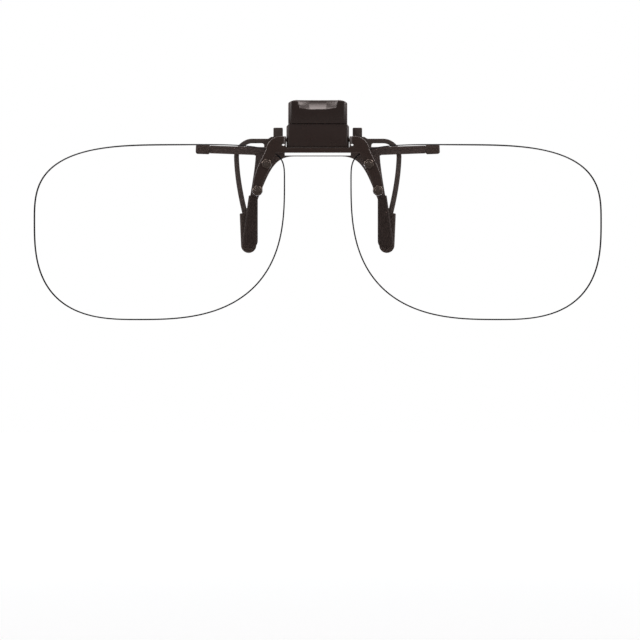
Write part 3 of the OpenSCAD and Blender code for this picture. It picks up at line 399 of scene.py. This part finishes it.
# how far out a row lies: the face's rows end one bevel inside the rim, and the two edge rows lie on it
from_end = add(tree, MATH, {0: last_row, 1: row}, operation="SUBTRACT")
nearest = add(tree, MATH, {0: row, 1: from_end}, operation="MINIMUM")
share_out = add(tree, MATH, {0: nearest, 1: given["Face rings"]}, operation="DIVIDE")
share_out = add(tree, MATH, {0: share_out, 1: 1.0}, operation="MINIMUM")
on_edge = add(tree, MATH, {0: nearest, 1: given["Face rings"]}, operation="GREATER_THAN")
spoke = add(tree, VECTOR, {0: rim, 1: given["Middle"]}, operation="SUBTRACT")
spoke_length = add(tree, VECTOR, {0: spoke}, operation="LENGTH").outputs["Value"]
off_edge = add(tree, MATH, {0: 1.0, 1: on_edge}, operation="SUBTRACT")
inset = add(tree, MATH, {0: off_edge, 1: given["Ground bevel"]}, operation="MULTIPLY")
shrink = add(tree, MATH, {0: 1.0, 1: add(tree, MATH, {0: inset, 1: spoke_length}, operation="DIVIDE")},
             operation="SUBTRACT")
out_share = add(tree, MATH, {0: share_out, 1: shrink}, operation="MULTIPLY")
point = add(tree, VECTOR, {0: add(tree, VECTOR, {0: spoke, "Scale": out_share}, operation="SCALE"),
                           1: given["Middle"]}, operation="ADD")

# its depth on the front ball or on the rear one
is_rear = add(tree, MATH, {0: row, 1: from_end}, operation="GREATER_THAN")
crest = add(tree, "ShaderNodeSeparateXYZ", {0: given["Crest"]})
offset = add(tree, VECTOR, {0: point, 1: given["Crest"]}, operation="SUBTRACT")
offset = add(tree, VECTOR, {0: offset, 1: (1.0, 0.0, 1.0)}, operation="MULTIPLY")
square = add(tree, VECTOR, {0: offset, 1: offset}, operation="DOT_PRODUCT").outputs["Value"]
thinner = add(tree, MATH, {0: is_rear, 1: given["Thickness"]}, operation="MULTIPLY")
radius = add(tree, MATH, {0: given["Front radius"], 1: thinner}, operation="SUBTRACT")
fall = add(tree, MATH, {0: add(tree, MATH, {0: radius, 1: radius}, operation="MULTIPLY"), 1: square},
           operation="SUBTRACT")
ball_mid = add(tree, MATH, {0: crest.outputs["Y"], 1: given["Front radius"]}, operation="ADD")
depth = add(tree, MATH, {0: ball_mid, 1: add(tree, MATH, {0: fall}, operation="SQRT")}, operation="SUBTRACT")
inward = add(tree, MATH, {0: is_rear, 1: -2.0, 2: 1.0}, operation="MULTIPLY_ADD")
edge_step = add(tree, MATH, {0: on_edge, 1: given["Ground bevel"]}, operation="MULTIPLY")
edge_step = add(tree, MATH, {0: edge_step, 1: inward}, operation="MULTIPLY")
depth = add(tree, MATH, {0: depth, 1: edge_step}, operation="ADD")
flat_point = add(tree, "ShaderNodeSeparateXYZ", {0: point})
sideways = add(tree, MATH, {0: flat_point.outputs["X"], 1: given["Side"]}, operation="MULTIPLY")
place = add(tree, "ShaderNodeCombineXYZ", {"X": sideways, "Y": depth, "Z": flat_point.outputs["Z"]})
shell = add(tree, "GeometryNodeSetPosition", {"Geometry": keep_row, "Position": place})
shell = add(tree, "GeometryNodeMergeByDistance", {"Geometry": shell, "Distance": 0.0005 * MM})

# three finishes: faces, bevels, ground edge
middle_row = add(tree, MATH, {0: given["Face rings"], 1: 1.5}, operation="ADD")
away = add(tree, MATH, {0: keep_row.outputs["Row"], 1: middle_row}, operation="SUBTRACT")
away = add(tree, MATH, {0: away}, operation="ABSOLUTE")
on_bevel = add(tree, "FunctionNodeCompare", {0: away, 1: 1.25}, operation="LESS_THAN")
on_ground = add(tree, "FunctionNodeCompare", {0: away, 1: 0.25}, operation="LESS_THAN")
shell = add(tree, "GeometryNodeSetMaterial", {"Geometry": shell, "Material": given["Face finish"]})
shell = add(tree, "GeometryNodeSetMaterial",
            {"Geometry": shell, "Selection": on_bevel, "Material": given["Bevel finish"]})
shell = add(tree, "GeometryNodeSetMaterial",
            {"Geometry": shell, "Selection": on_ground, "Material": given["Edge finish"]})

# two drilled holes for the screws
drill = add(tree, "GeometryNodeMeshCylinder", {"Vertices": 40, "Radius": given["Hole radius"], "Depth": 0.01})
drill = add(tree, "GeometryNodeSetMaterial", {"Geometry": drill, "Material": given["Edge finish"]})
drills = add(tree, "GeometryNodeJoinGeometry")
for label in ("Upper hole", "Lower hole"):
    spot = add(tree, VECTOR, {0: given[label], 1: (0.0, 0.0, 0.0)}, operation="ADD")
    spot = add(tree, "ShaderNodeSeparateXYZ", {0: spot})
    spot_x = add(tree, MATH, {0: spot.outputs["X"], 1: given["Side"]}, operation="MULTIPLY")
    spot = add(tree, "ShaderNodeCombineXYZ", {"X": spot_x, "Y": spot.outputs["Y"], "Z": spot.outputs["Z"]})
    moved = add(tree, "GeometryNodeTransform",
                {"Geometry": drill, "Translation": spot, "Rotation": (math.pi / 2, 0, 0)})
    tree.links.new(moved.outputs[0], drills.inputs[0])
shell = add(tree, "GeometryNodeMeshBoolean", {"Mesh 1": shell, "Mesh 2": drills}, operation="DIFFERENCE",
            solver="EXACT")
shell = add(tree, "GeometryNodeRealizeInstances", {"Geometry": shell.outputs["Mesh"]})
tree.links.new(shell.outputs[0], out.inputs[0])
lens_tree = tree
print("lens tree:", len(tree.nodes), "nodes")

# %% [markdown]
# ## Two lenses
# The right lens is the left one mirrored. The lens casts no shadow, since real clear resin lets the light
# through to the pads and the floor behind it. For the same reason light that bounces off a black part passes
# the lens unseen: counted both ways, the pads behind it would come out twice as bright.

# %% Make the lenses
LENS_CREST_MM, LENS_BALL_MM, LENS_THICK_MM = (20.0, -5.48, 8.0), 265.0, 1.5
SCREWS_MM = {"Upper": (11.75, 14.7), "Lower": (13.85, 8.6)}
lens_values = {label + " hole": (x * MM, -5.0 * MM, z * MM) for label, (x, z) in SCREWS_MM.items()}
for label, (middle, span) in RIM_QUARTERS.items():
    lens_values[label + " centre"] = (middle[0] * MM, middle[1], middle[2] * MM)
    lens_values[label + " reach"] = tuple(v * MM for v in span)
for side, name in ((1.0, "left"), (-1.0, "right")):
    lens = run_tree(
        "clear_lens_" + name, lens_tree, bpy.data.meshes.new("lens_start"), Side=side,
        Middle=(38 * MM, 0.0, 3 * MM), Crest=tuple(v * MM for v in LENS_CREST_MM),
        Front_radius=LENS_BALL_MM * MM, Thickness=LENS_THICK_MM * MM, Ground_bevel=0.31 * MM,
        Hole_radius=0.91 * MM, Face_finish=lens_clear, Bevel_finish=bevel_painted_dark, Edge_finish=edge_painted_dark,
        **lens_values)
    lens.visible_shadow = lens.visible_diffuse = lens.visible_glossy = False
    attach(lens, "flip_unit")
    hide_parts("lens_" + name)

# %% [markdown]
# ## Rubber pads and tips
# Each pad is a silicone sleeve pulled over a blade of the jaw: round sides, a round foot and a small soft
# lip at the top where the blade goes in. It is made here from its flat middle shape: from every point of
# that shape's edge the rubber swells outward in a half round, and a mould line runs round the middle. The
# broad faces are slightly domed, as soft rubber over a flat blade is.

# %% Sleeve maker
def swell(name, finish, edge, half_thick, round_mm, dome_mm=0.0, seam_mm=0.0, full=1.0, arcs=12, rings=5):
    """A soft closed piece. edge is [(x, z, out_x, out_z)] round its middle shape, in mm; half_thick sets its
    depth, and the smaller full is, the squarer its rounded side."""
    middle_x = sum(p[0] for p in edge) / len(edge)
    middle_z = sum(p[1] for p in edge) / len(edge)
    rows = []
    for ring in range(rings):  # the front face, from its middle outward
        share = ring / rings
        rows.append((share, 0.0, -half_thick - dome_mm * (1 - share * share)))
    for step in range(2 * arcs + 1):  # over the rounded side
        bend = math.pi * (step / (2 * arcs) - 0.5)
        bulge = max(math.cos(bend), 0.0) ** full + (seam_mm / round_mm if step == arcs else 0.0)
        lean = math.copysign(abs(math.sin(bend)) ** full, bend) if step != arcs else 0.0
        flat_part = math.copysign(half_thick - round_mm, bend) if step != arcs else 0.0
        rows.append((1.0, bulge, flat_part + round_mm * lean))
    rows += [(share, bulge, -y) for share, bulge, y in reversed(rows[:rings])]
    points, faces, count = [], [], len(edge)
    for share, bulge, y in rows:
        for x, z, out_x, out_z in edge:
            points.append((
                (middle_x + (x - middle_x) * share + out_x * bulge) * MM, y * MM,
                (middle_z + (z - middle_z) * share + out_z * bulge) * MM))
    for r in range(len(rows) - 1):
        for k in range(count):
            n = (k + 1) % count
            faces.append((r * count + k, r * count + n, (r + 1) * count + n, (r + 1) * count + k))
    mesh = bpy.data.meshes.new(name)
    mesh.from_pydata(points, [], faces)
    close_up(mesh, crease=50)
    piece = bpy.data.objects.new(name, mesh)
    bpy.context.scene.collection.objects.link(piece)
    mesh.materials.append(finish)
    return piece


def paddle_edge(inner_x, top_w, top_z, foot_x, foot_w, foot_z, round_mm, lip_mm=0.3, steps=14):
    """Middle shape of a pad: a short flat top, straight sides and a round foot."""
    foot_r = foot_w / 2 - round_mm
    foot_mid = (foot_x + foot_w / 2, foot_z + foot_w / 2)
    edge = []
    for k in range(steps + 1):  # round the foot, from the inner side to the outer
        a = math.pi + math.pi * k / steps
        way = (math.cos(a), math.sin(a))
        edge.append((foot_mid[0] + foot_r * way[0], foot_mid[1] + foot_r * way[1],
                     round_mm * way[0], round_mm * way[1]))
    corners = ((inner_x + top_w - round_mm, 0.0), (inner_x + round_mm, math.pi / 2))
    for x, start in corners:  # the lip's two corners
        for k in range(steps // 2 + 1):
            a = start + math.pi / 2 * k / (steps // 2)
            way = [math.copysign(abs(v) ** 0.55, v) for v in (math.cos(a), math.sin(a))]
            edge.append((x, top_z - lip_mm, round_mm * way[0], lip_mm * way[1]))
    return edge


# %% [markdown]
# The front pads are narrower at the top than at the foot, the rear ones nearly straight.

# %% Make the pads
ROUND = 0.975
PADS = {
    "front": dict(y=-1.125, body="clip_front", finish=rubber,
                  edge=paddle_edge(13.85, 2.05, 7.6, 13.85, 3.5, -4.7, ROUND)),
    # The rear pads' greyer rubber is painted light, against the shade behind the front pads.
    "rear": dict(y=1.125, body="rear_clamp", finish=greyer_rubber_painted_light,
                 edge=paddle_edge(14.1, 3.9, 3.5, 14.2, 3.5, -5.65, ROUND)),
}


def place_soft(piece, y_mm, side, body, node):
    """Moves a soft piece's points into place, mirrors them for the right side, and lets it ride."""
    for vertex in piece.data.vertices:
        vertex.co.x *= side
        vertex.co.y += y_mm * MM
    if side < 0:
        piece.data.flip_normals()
    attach(piece, body)
    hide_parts(node)


for where, pad in PADS.items():
    for side, name in ((1, "left"), (-1, "right")):
        piece = swell(f"rubber_{where}_pad_{name}", pad["finish"], pad["edge"], ROUND, ROUND, dome_mm=0.04,
                      seam_mm=0.03, full=0.5)
        place_soft(piece, pad["y"], side, pad["body"], f"{where}_pad_{name}")

# %% [markdown]
# The two brow tips are short rubber caps on the ends of the thin bar that rests on the brow of the glasses.

# %% Make the brow tips
def tip_edge(start, end, height, round_mm, steps=6):
    """Middle shape of a brow tip: a rectangle along the bar, its corners swelling round."""
    along = (end[0] - start[0], end[1] - start[1])
    size = math.hypot(*along)
    along = (along[0] / size, along[1] / size)
    up = (-along[1], along[0])
    edge = []
    for corner, (mid, lift) in enumerate(((start, -1), (end, -1), (end, 1), (start, 1))):
        foot = height / 2 - round_mm
        x, z = mid[0] + up[0] * lift * foot, mid[1] + up[1] * lift * foot
        for k in range(steps + 1):
            a = math.pi + math.pi / 2 * (corner + k / steps)
            out_x = math.cos(a) * along[0] + math.sin(a) * up[0]
            out_z = math.cos(a) * along[1] + math.sin(a) * up[1]
            edge.append((x, z, round_mm * out_x, round_mm * out_z))
    return edge


BAR_END_MM, BAR_RUN_MM = (27.7, 18.25), (16.7, 0.55)
bar_length = math.hypot(*BAR_RUN_MM)


def on_bar(back_mm):
    """A point of the bar's middle line, so far back from the bar's end."""
    return tuple(end - back_mm * run / bar_length for end, run in zip(BAR_END_MM, BAR_RUN_MM))


tip_from, tip_to = on_bar(2.37), on_bar(0.1)
for side, name in ((1, "left"), (-1, "right")):
    piece = swell(f"rubber_brow_tip_{name}", greyer_rubber_painted_light, tip_edge(tip_from, tip_to, 2.2, 0.5), 0.8, 0.5,
                  seam_mm=0.03)
    place_soft(piece, -1.125, side, "clip_front", f"brow_tip_{name}")

# %% [markdown]
# ## Lens fixings
# Four tiny screws hold the lenses. Each goes through a clear washer behind the lens, the lens itself and the
# bridge, and ends in a hexagon nut in front. All three kinds are turned parts: a profile spun round an axis.
# For the nut, the spin follows a hexagon and its corners are cut back by a cone of 30 degrees, which is
# where a real nut's curved corner lines come from.

# %% Turned parts
def turned(name, profile, steps=48, flats_mm=None, cone_from=None):
    """A closed profile [(radius, height)] in mm, spun round +Z. With flats_mm its widest rows follow a hexagon,
    and cone_from is the radius where the cone that cuts its corners starts."""
    points, faces = [], []
    for radius, height in profile:
        for k in range(steps):
            a = 2 * math.pi * k / steps
            r, h = radius, height
            if flats_mm and radius >= flats_mm / 2:
                off = (math.degrees(a) + 30) % 60 - 30
                r = flats_mm / 2 / math.cos(math.radians(off))
                if cone_from and height > 0:
                    h = height - (r - cone_from) * math.tan(math.radians(30))
            points.append((r * math.cos(a) * MM, r * math.sin(a) * MM, h * MM))
    rows = len(profile)
    for r in range(rows):
        up = (r + 1) % rows
        if profile[r][0] == profile[up][0] == 0.0:  # both rows lie on the axis: no face between them
            continue
        for k in range(steps):
            n = (k + 1) % steps
            faces.append((r * steps + k, r * steps + n, up * steps + n, up * steps + k))
    mesh = bpy.data.meshes.new(name)
    mesh.from_pydata(points, [], faces)
    return mesh


nut_mesh = turned("nut", [(0.63, 0.0), (0.63, 0.77), (0.66, 0.80), (0.97, 0.80), (1.0, 0.80), (1.0, 0.0)],
                  steps=72, flats_mm=2.0, cone_from=0.97)
screw_mesh = turned("screw", [(0.0, -3.56), (0.58, -3.56), (0.6, -3.54), (0.6, 0.0), (1.02, 0.0), (1.1, 0.08),
                              (1.1, 0.2), (0.98, 0.38), (0.72, 0.48), (0.0, 0.5)])
washer_mesh = turned("washer", [(0.63, -1.5), (0.86, -1.5), (0.88, -1.45), (0.88, 0.0), (1.15, 0.0),
                                (1.2, 0.05), (1.2, 0.25), (1.15, 0.3), (0.63, 0.3)])
print("turned parts:", nut_mesh.name, screw_mesh.name, washer_mesh.name)

# %% [markdown]
# ## Four of each
# One tree sets a turned part out on its four places: two screws on the left lens, then the same two
# mirrored. Nobody lines nuts up, so each is turned a few degrees its own way from a fixed seed.

# %% Fixing tree
tree, given, out = new_tree("four fixings", {
    "Upper place": ("Vector", None), "Lower place": ("Vector", None), "Facing": ("Vector", None),
    "Turn": ("Float", 0.0), "Loose turn": ("Float", 0.0), "Seed": ("Int", 7), "Finish": ("Material", None),
})
spots = add(tree, "GeometryNodeJoinGeometry")
for label in ("Upper place", "Lower place"):
    for mirror in (1.0, -1.0):
        spot = add(tree, VECTOR, {0: given[label], 1: (mirror, 1.0, 1.0)}, operation="MULTIPLY")
        one = add(tree, "GeometryNodeMeshLine", {"Count": 1, "Start Location": spot})
        tree.links.new(one.outputs[0], spots.inputs[0])
loose_low = add(tree, MATH, {0: given["Turn"], 1: given["Loose turn"]}, operation="SUBTRACT")
loose_high = add(tree, MATH, {0: given["Turn"], 1: given["Loose turn"]}, operation="ADD")
turn = add(tree, "FunctionNodeRandomValue", {2: loose_low, 3: loose_high, "Seed": given["Seed"]},
           data_type="FLOAT")
spin = add(tree, "ShaderNodeCombineXYZ", {"Z": turn.outputs[1]})
spun = add(tree, "FunctionNodeEulerToRotation", {0: spin})
faced = add(tree, "FunctionNodeEulerToRotation", {0: given["Facing"]})
whole = add(tree, "FunctionNodeRotateRotation", {0: faced, 1: spun}, rotation_space="LOCAL")
placed = add(tree, "GeometryNodeInstanceOnPoints",
             {"Points": spots, "Instance": given["Geometry"], "Rotation": whole})
real = add(tree, "GeometryNodeRealizeInstances", {"Geometry": placed})
real = add(tree, "GeometryNodeSetMaterial", {"Geometry": real, "Material": given["Finish"]})
tree.links.new(real.outputs[0], out.inputs[0])
fixing_tree = tree


def lens_back_mm(x, z):
    """Depth of a lens's back face at a screw, with a hair of air."""
    crest_x, crest_y, crest_z = LENS_CREST_MM
    fall = math.sqrt(LENS_BALL_MM ** 2 - (x - crest_x) ** 2 - (z - crest_z) ** 2)
    return crest_y + LENS_BALL_MM - fall + LENS_THICK_MM + 0.07


def fixings(name, mesh, base_mm, turn, loose, facing, finish, node):
    """Sets a turned part out on the four places; base_mm gives its depth from a screw's place."""
    spots = {label + " place": (x * MM, base_mm(x, z) * MM, z * MM) for label, (x, z) in SCREWS_MM.items()}
    piece = run_tree(name, fixing_tree, mesh, Facing=facing, Turn=math.radians(turn),
                     Loose_turn=math.radians(loose), Seed=7, Finish=finish, **spots)
    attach(piece, "flip_unit")
    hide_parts(node)
    return piece


BRIDGE_FRONT_MM = -6.1  # the nuts sit on the bridge's front face
WASHER_FLANGE_MM = 0.3
to_front, to_back = (math.pi / 2, 0, 0), (-math.pi / 2, 0, 0)
fixings("hexagon_nuts", nut_mesh, lambda x, z: BRIDGE_FRONT_MM, 15, 4, to_front, black_plate,
        "lens_nuts")

# %% [markdown]
# A screw is as long as its own stack of washer, lens and bridge, so the upper and the lower one differ by a
# hair; here one length serves both, and the head sits on its washer.

# %% Screws and washers
fixings("lens_screw_set", screw_mesh, lambda x, z: lens_back_mm(x, z) + WASHER_FLANGE_MM, 20, 60, to_back,
        black_plate, "lens_screws")
washers = fixings("clear_washers", washer_mesh, lens_back_mm, 0, 0, to_back, washer_clear,
                  "lens_washers")
washers.visible_shadow = False

# %% [markdown]
# ## The clamp spring
# A length of spring wire, wound five and a half turns round the clamp pin, with two straight legs. The tree
# puts points along a line, bends them into the coil by rule, and sweeps a round wire along it. The rear leg
# leans back against the rear jaw.

# %% Spring tree
tree, given, out = new_tree("wound spring", {
    "Centre": ("Vector", None), "Turns": ("Float", 5.5), "Coil radius": ("Float", 0.001),
    "Pitch": ("Float", 0.0008), "Wire": ("Float", 0.0004), "Front leg": ("Float", 0.002),
    "Rear leg": ("Vector", None), "Steps": ("Int", 220), "Finish": ("Material", None),
})
line = add(tree, "GeometryNodeCurvePrimitiveLine")
line = add(tree, "GeometryNodeResampleCurve", {"Curve": line, "Count": given["Steps"]})
along = add(tree, "GeometryNodeSplineParameter").outputs["Factor"]
turned_by = add(tree, MATH, {0: along, 1: given["Turns"]}, operation="MULTIPLY")
angle = add(tree, MATH, {0: turned_by, 1: 2 * math.pi, 2: math.pi}, operation="MULTIPLY_ADD")
half = add(tree, MATH, {0: given["Turns"], 1: 0.5}, operation="MULTIPLY")
shift = add(tree, MATH, {0: add(tree, MATH, {0: turned_by, 1: half}, operation="SUBTRACT"), 1: given["Pitch"]},
            operation="MULTIPLY")
forward = add(tree, MATH, {0: add(tree, MATH, {0: angle}, operation="COSINE"), 1: given["Coil radius"]},
              operation="MULTIPLY")
upward = add(tree, MATH, {0: add(tree, MATH, {0: angle}, operation="SINE"), 1: given["Coil radius"]},
             operation="MULTIPLY")
coil_point = add(tree, "ShaderNodeCombineXYZ", {"X": shift, "Y": forward, "Z": upward})
last_point = add(tree, MATH, {0: given["Steps"], 1: 1.0}, operation="SUBTRACT")
index = add(tree, "GeometryNodeInputIndex")
is_first = add(tree, "FunctionNodeCompare", {2: index, 3: 0}, data_type="INT", operation="EQUAL")
is_last = add(tree, "FunctionNodeCompare", {2: index, 3: last_point}, data_type="INT", operation="EQUAL")
first_lift = add(tree, "ShaderNodeCombineXYZ", {"Z": given["Front leg"]})
leg = add(tree, "GeometryNodeSwitch", {"Switch": is_first, "True": first_lift}, input_type="VECTOR")
leg = add(tree, "GeometryNodeSwitch", {"Switch": is_last, "False": leg, "True": given["Rear leg"]},
          input_type="VECTOR")
spot = add(tree, VECTOR, {0: add(tree, VECTOR, {0: coil_point, 1: leg}, operation="ADD"), 1: given["Centre"]},
           operation="ADD")
bent = add(tree, "GeometryNodeSetPosition", {"Geometry": line, "Position": spot})
half_wire = add(tree, MATH, {0: given["Wire"], 1: 0.5}, operation="MULTIPLY")
ring = add(tree, "GeometryNodeCurvePrimitiveCircle", {"Resolution": 16, "Radius": half_wire})
tube = add(tree, "GeometryNodeCurveToMesh", {"Curve": bent, "Profile Curve": ring, "Fill Caps": True})
tube = add(tree, "GeometryNodeRealizeInstances", {"Geometry": tube})
tube = add(tree, "GeometryNodeSetMaterial", {"Geometry": tube, "Material": given["Finish"]})
tree.links.new(tube.outputs[0], out.inputs[0])

REAR_LEAN = 19  # degrees that the rear leg leans back from upright
lean = math.radians(REAR_LEAN)
leg_length = (5 + math.sin(lean)) / math.cos(lean)
spring = run_tree(
    "wound_clamp_spring", tree, bpy.data.meshes.new("spring_start"), Centre=(0.0, -1.0 * MM, 20.3 * MM),
    Turns=5 + 0.5 - REAR_LEAN / 360, Coil_radius=1 * MM, Pitch=0.78 * MM, Wire=0.36 * MM, Front_leg=2.4 * MM,
    Rear_leg=(0.0, leg_length * math.sin(lean) * MM, leg_length * math.cos(lean) * MM), Steps=220, Finish=steel)
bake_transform(spring)
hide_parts("clamp_spring")

# %% [markdown]
# ## The floor
# A plain pale floor lies well below the object, which hangs free in the picture. The camera sees it glow
# just enough to reach white where no shadow falls, and the object's soft shadow stays. In what the black
# parts mirror the floor is darker, which keeps their lower edges black as in the picture.

# %% Floor
def ray_kinds(tree):
    """1 for rays that see a thing straight or through a lens, and 1 for rays that see it only mirrored."""
    path = add(tree, "ShaderNodeLightPath").outputs
    seen = add(tree, MATH, {0: path["Is Camera Ray"], 1: path["Is Transmission Ray"]}, operation="MAXIMUM")
    only_mirrored = add(tree, MATH, {0: path["Is Glossy Ray"], 1: seen}, operation="SUBTRACT", use_clamp=True)
    return seen, only_mirrored


floor_mesh = bpy.data.meshes.new("floor")
floor_mesh.from_pydata([(-3, -3, 0), (3, -3, 0), (3, 3, 0), (-3, 3, 0)], [], [(0, 1, 2, 3)])
floor = bpy.data.objects.new("floor", floor_mesh)
floor.location.z = -0.11
bpy.context.scene.collection.objects.link(floor)
floor_finish = bpy.data.materials.new("pale floor")
floor_finish.use_nodes = True
tree = floor_finish.node_tree
tree.nodes.clear()
seen, only_mirrored = ray_kinds(tree)
shade = add(tree, "ShaderNodeMix", {"Factor": only_mirrored, 6: colour("#f2f4f5"), 7: colour("#c6bdb9")},
            data_type="RGBA")
matt = add(tree, "ShaderNodeBsdfDiffuse", {"Color": shade.outputs[2]})
spot = add(tree, VECTOR, {0: add(tree, "ShaderNodeTexCoord").outputs["Object"]}, operation="LENGTH")
lack = add(tree, "ShaderNodeMapRange", {"Value": spot.outputs["Value"], "From Min": 0.05, "From Max": 1.1,
                                        "To Min": 0.14, "To Max": 0.58})
lift = add(tree, MATH, {0: seen, 1: lack}, operation="MULTIPLY")
glow = add(tree, "ShaderNodeEmission", {"Color": (1, 1, 1, 1), "Strength": lift})
both = add(tree, "ShaderNodeAddShader", {0: matt, 1: glow})
add(tree, "ShaderNodeOutputMaterial", {"Surface": both})
floor_mesh.materials.append(floor_finish)

# %% [markdown]
# ## A white room and five lamps
# The background is plain white to the camera and through the lenses, and gives a weaker light all round. In
# what the black parts mirror, the room is dim behind the camera and bright behind and above the object: a
# photographer hangs black card by the camera for that, and it keeps a black face black while its edges
# shine. A softbox overhead fills the cap's thumb hollow, one on each side lights the faces, and two long
# ones high at the sides are seen only as shine: they draw the light lines along the rounded edges. The shine
# is a trace warmer than the background, as lamps with cloth fronts are.

# %% Light
world = bpy.data.worlds.new("white room")
bpy.context.scene.world = world
world.use_nodes = True
tree = world.node_tree
tree.nodes.clear()
seen, only_mirrored = ray_kinds(tree)
way = add(tree, "ShaderNodeSeparateXYZ", {0: add(tree, "ShaderNodeTexCoord").outputs["Generated"]})
walls = add(tree, "ShaderNodeMapRange", {"Value": way.outputs["Y"], "From Min": -1.0, "From Max": 0.6,
                                         "To Min": 0.25, "To Max": 1.0})
ceiling = add(tree, MATH, {0: way.outputs["Z"], 1: 0.0}, operation="MAXIMUM")
mirrored = add(tree, MATH, {0: ceiling, 1: 0.4, 2: walls}, operation="MULTIPLY_ADD")
plain = add(tree, "ShaderNodeMapRange", {"Value": seen, "To Min": 0.55, "To Max": 1.0})
strength = add(tree, "ShaderNodeMix", {"Factor": only_mirrored, 2: plain, 3: mirrored})
tint = add(tree, "ShaderNodeMix", {"Factor": only_mirrored, 6: (1, 1, 1, 1), 7: (1.0, 0.9, 0.88, 1)},
           data_type="RGBA")
room = add(tree, "ShaderNodeBackground", {"Color": tint.outputs[2], "Strength": strength})
add(tree, "ShaderNodeOutputWorld", {"Surface": room})


def softbox(name, place, size, power, aim=(0.0, 0.0, 0.0)):
    lamp = bpy.data.lights.new(name, "AREA")
    lamp.shape = "RECTANGLE"
    lamp.size, lamp.size_y = size
    lamp.energy = power
    holder = bpy.data.objects.new(name, lamp)
    holder.location = place
    way = holder.location.copy()
    for k in range(3):
        way[k] -= aim[k]
    holder.rotation_euler = way.to_track_quat("Z", "Y").to_euler()
    bpy.context.scene.collection.objects.link(holder)
    return holder


overhead = softbox("overhead softbox", (0.0, 0.07, 0.55), (0.12, 0.38), 0.97, aim=(0, 0, 0.02))
softbox("left softbox", (-1.05, -0.6, 0.2), (1.3, 1.15), 6.3)
softbox("right softbox", (1.05, -0.6, 0.2), (1.3, 1.15), 5.5)
for name, side in (("left edge light", -1), ("right edge light", 1)):
    edge_light = softbox(name, (side * 0.64, -0.12, 0.59), (0.38, 0.85), 14.4)
    edge_light.visible_diffuse = False
    edge_light.data.color = (1.0, 0.9, 0.88)
overhead.data.color = (1.0, 0.88, 0.86)
bpy.context.scene.view_settings.view_transform = "Standard"

# %% [markdown]
# ## The camera
# The picture was taken straight from the front with a long lens. The camera stands level 1.25 m away,
# aimed so that the object sits in the upper part of the square picture, which is 147.2 mm wide at the
# object.

# %% Camera
PICTURE_MM, DISTANCE = 147.2, 1.25
camera_data = bpy.data.cameras.new("camera")
camera_data.sensor_width = 36
camera_data.lens = 36 * DISTANCE / (PICTURE_MM * MM)
camera_data.dof.use_dof = False
camera = bpy.data.objects.new("camera", camera_data)
AIM_X_MM, AIM_Z_MM, FRONT_MM = 0.52, -21.16, 4.0  # where it aims, and how far the object comes forward
camera.location = (AIM_X_MM * MM, -DISTANCE - FRONT_MM * MM, AIM_Z_MM * MM)
camera.rotation_euler = (math.pi / 2, 0, 0)
bpy.context.scene.collection.objects.link(camera)
bpy.context.scene.camera = camera
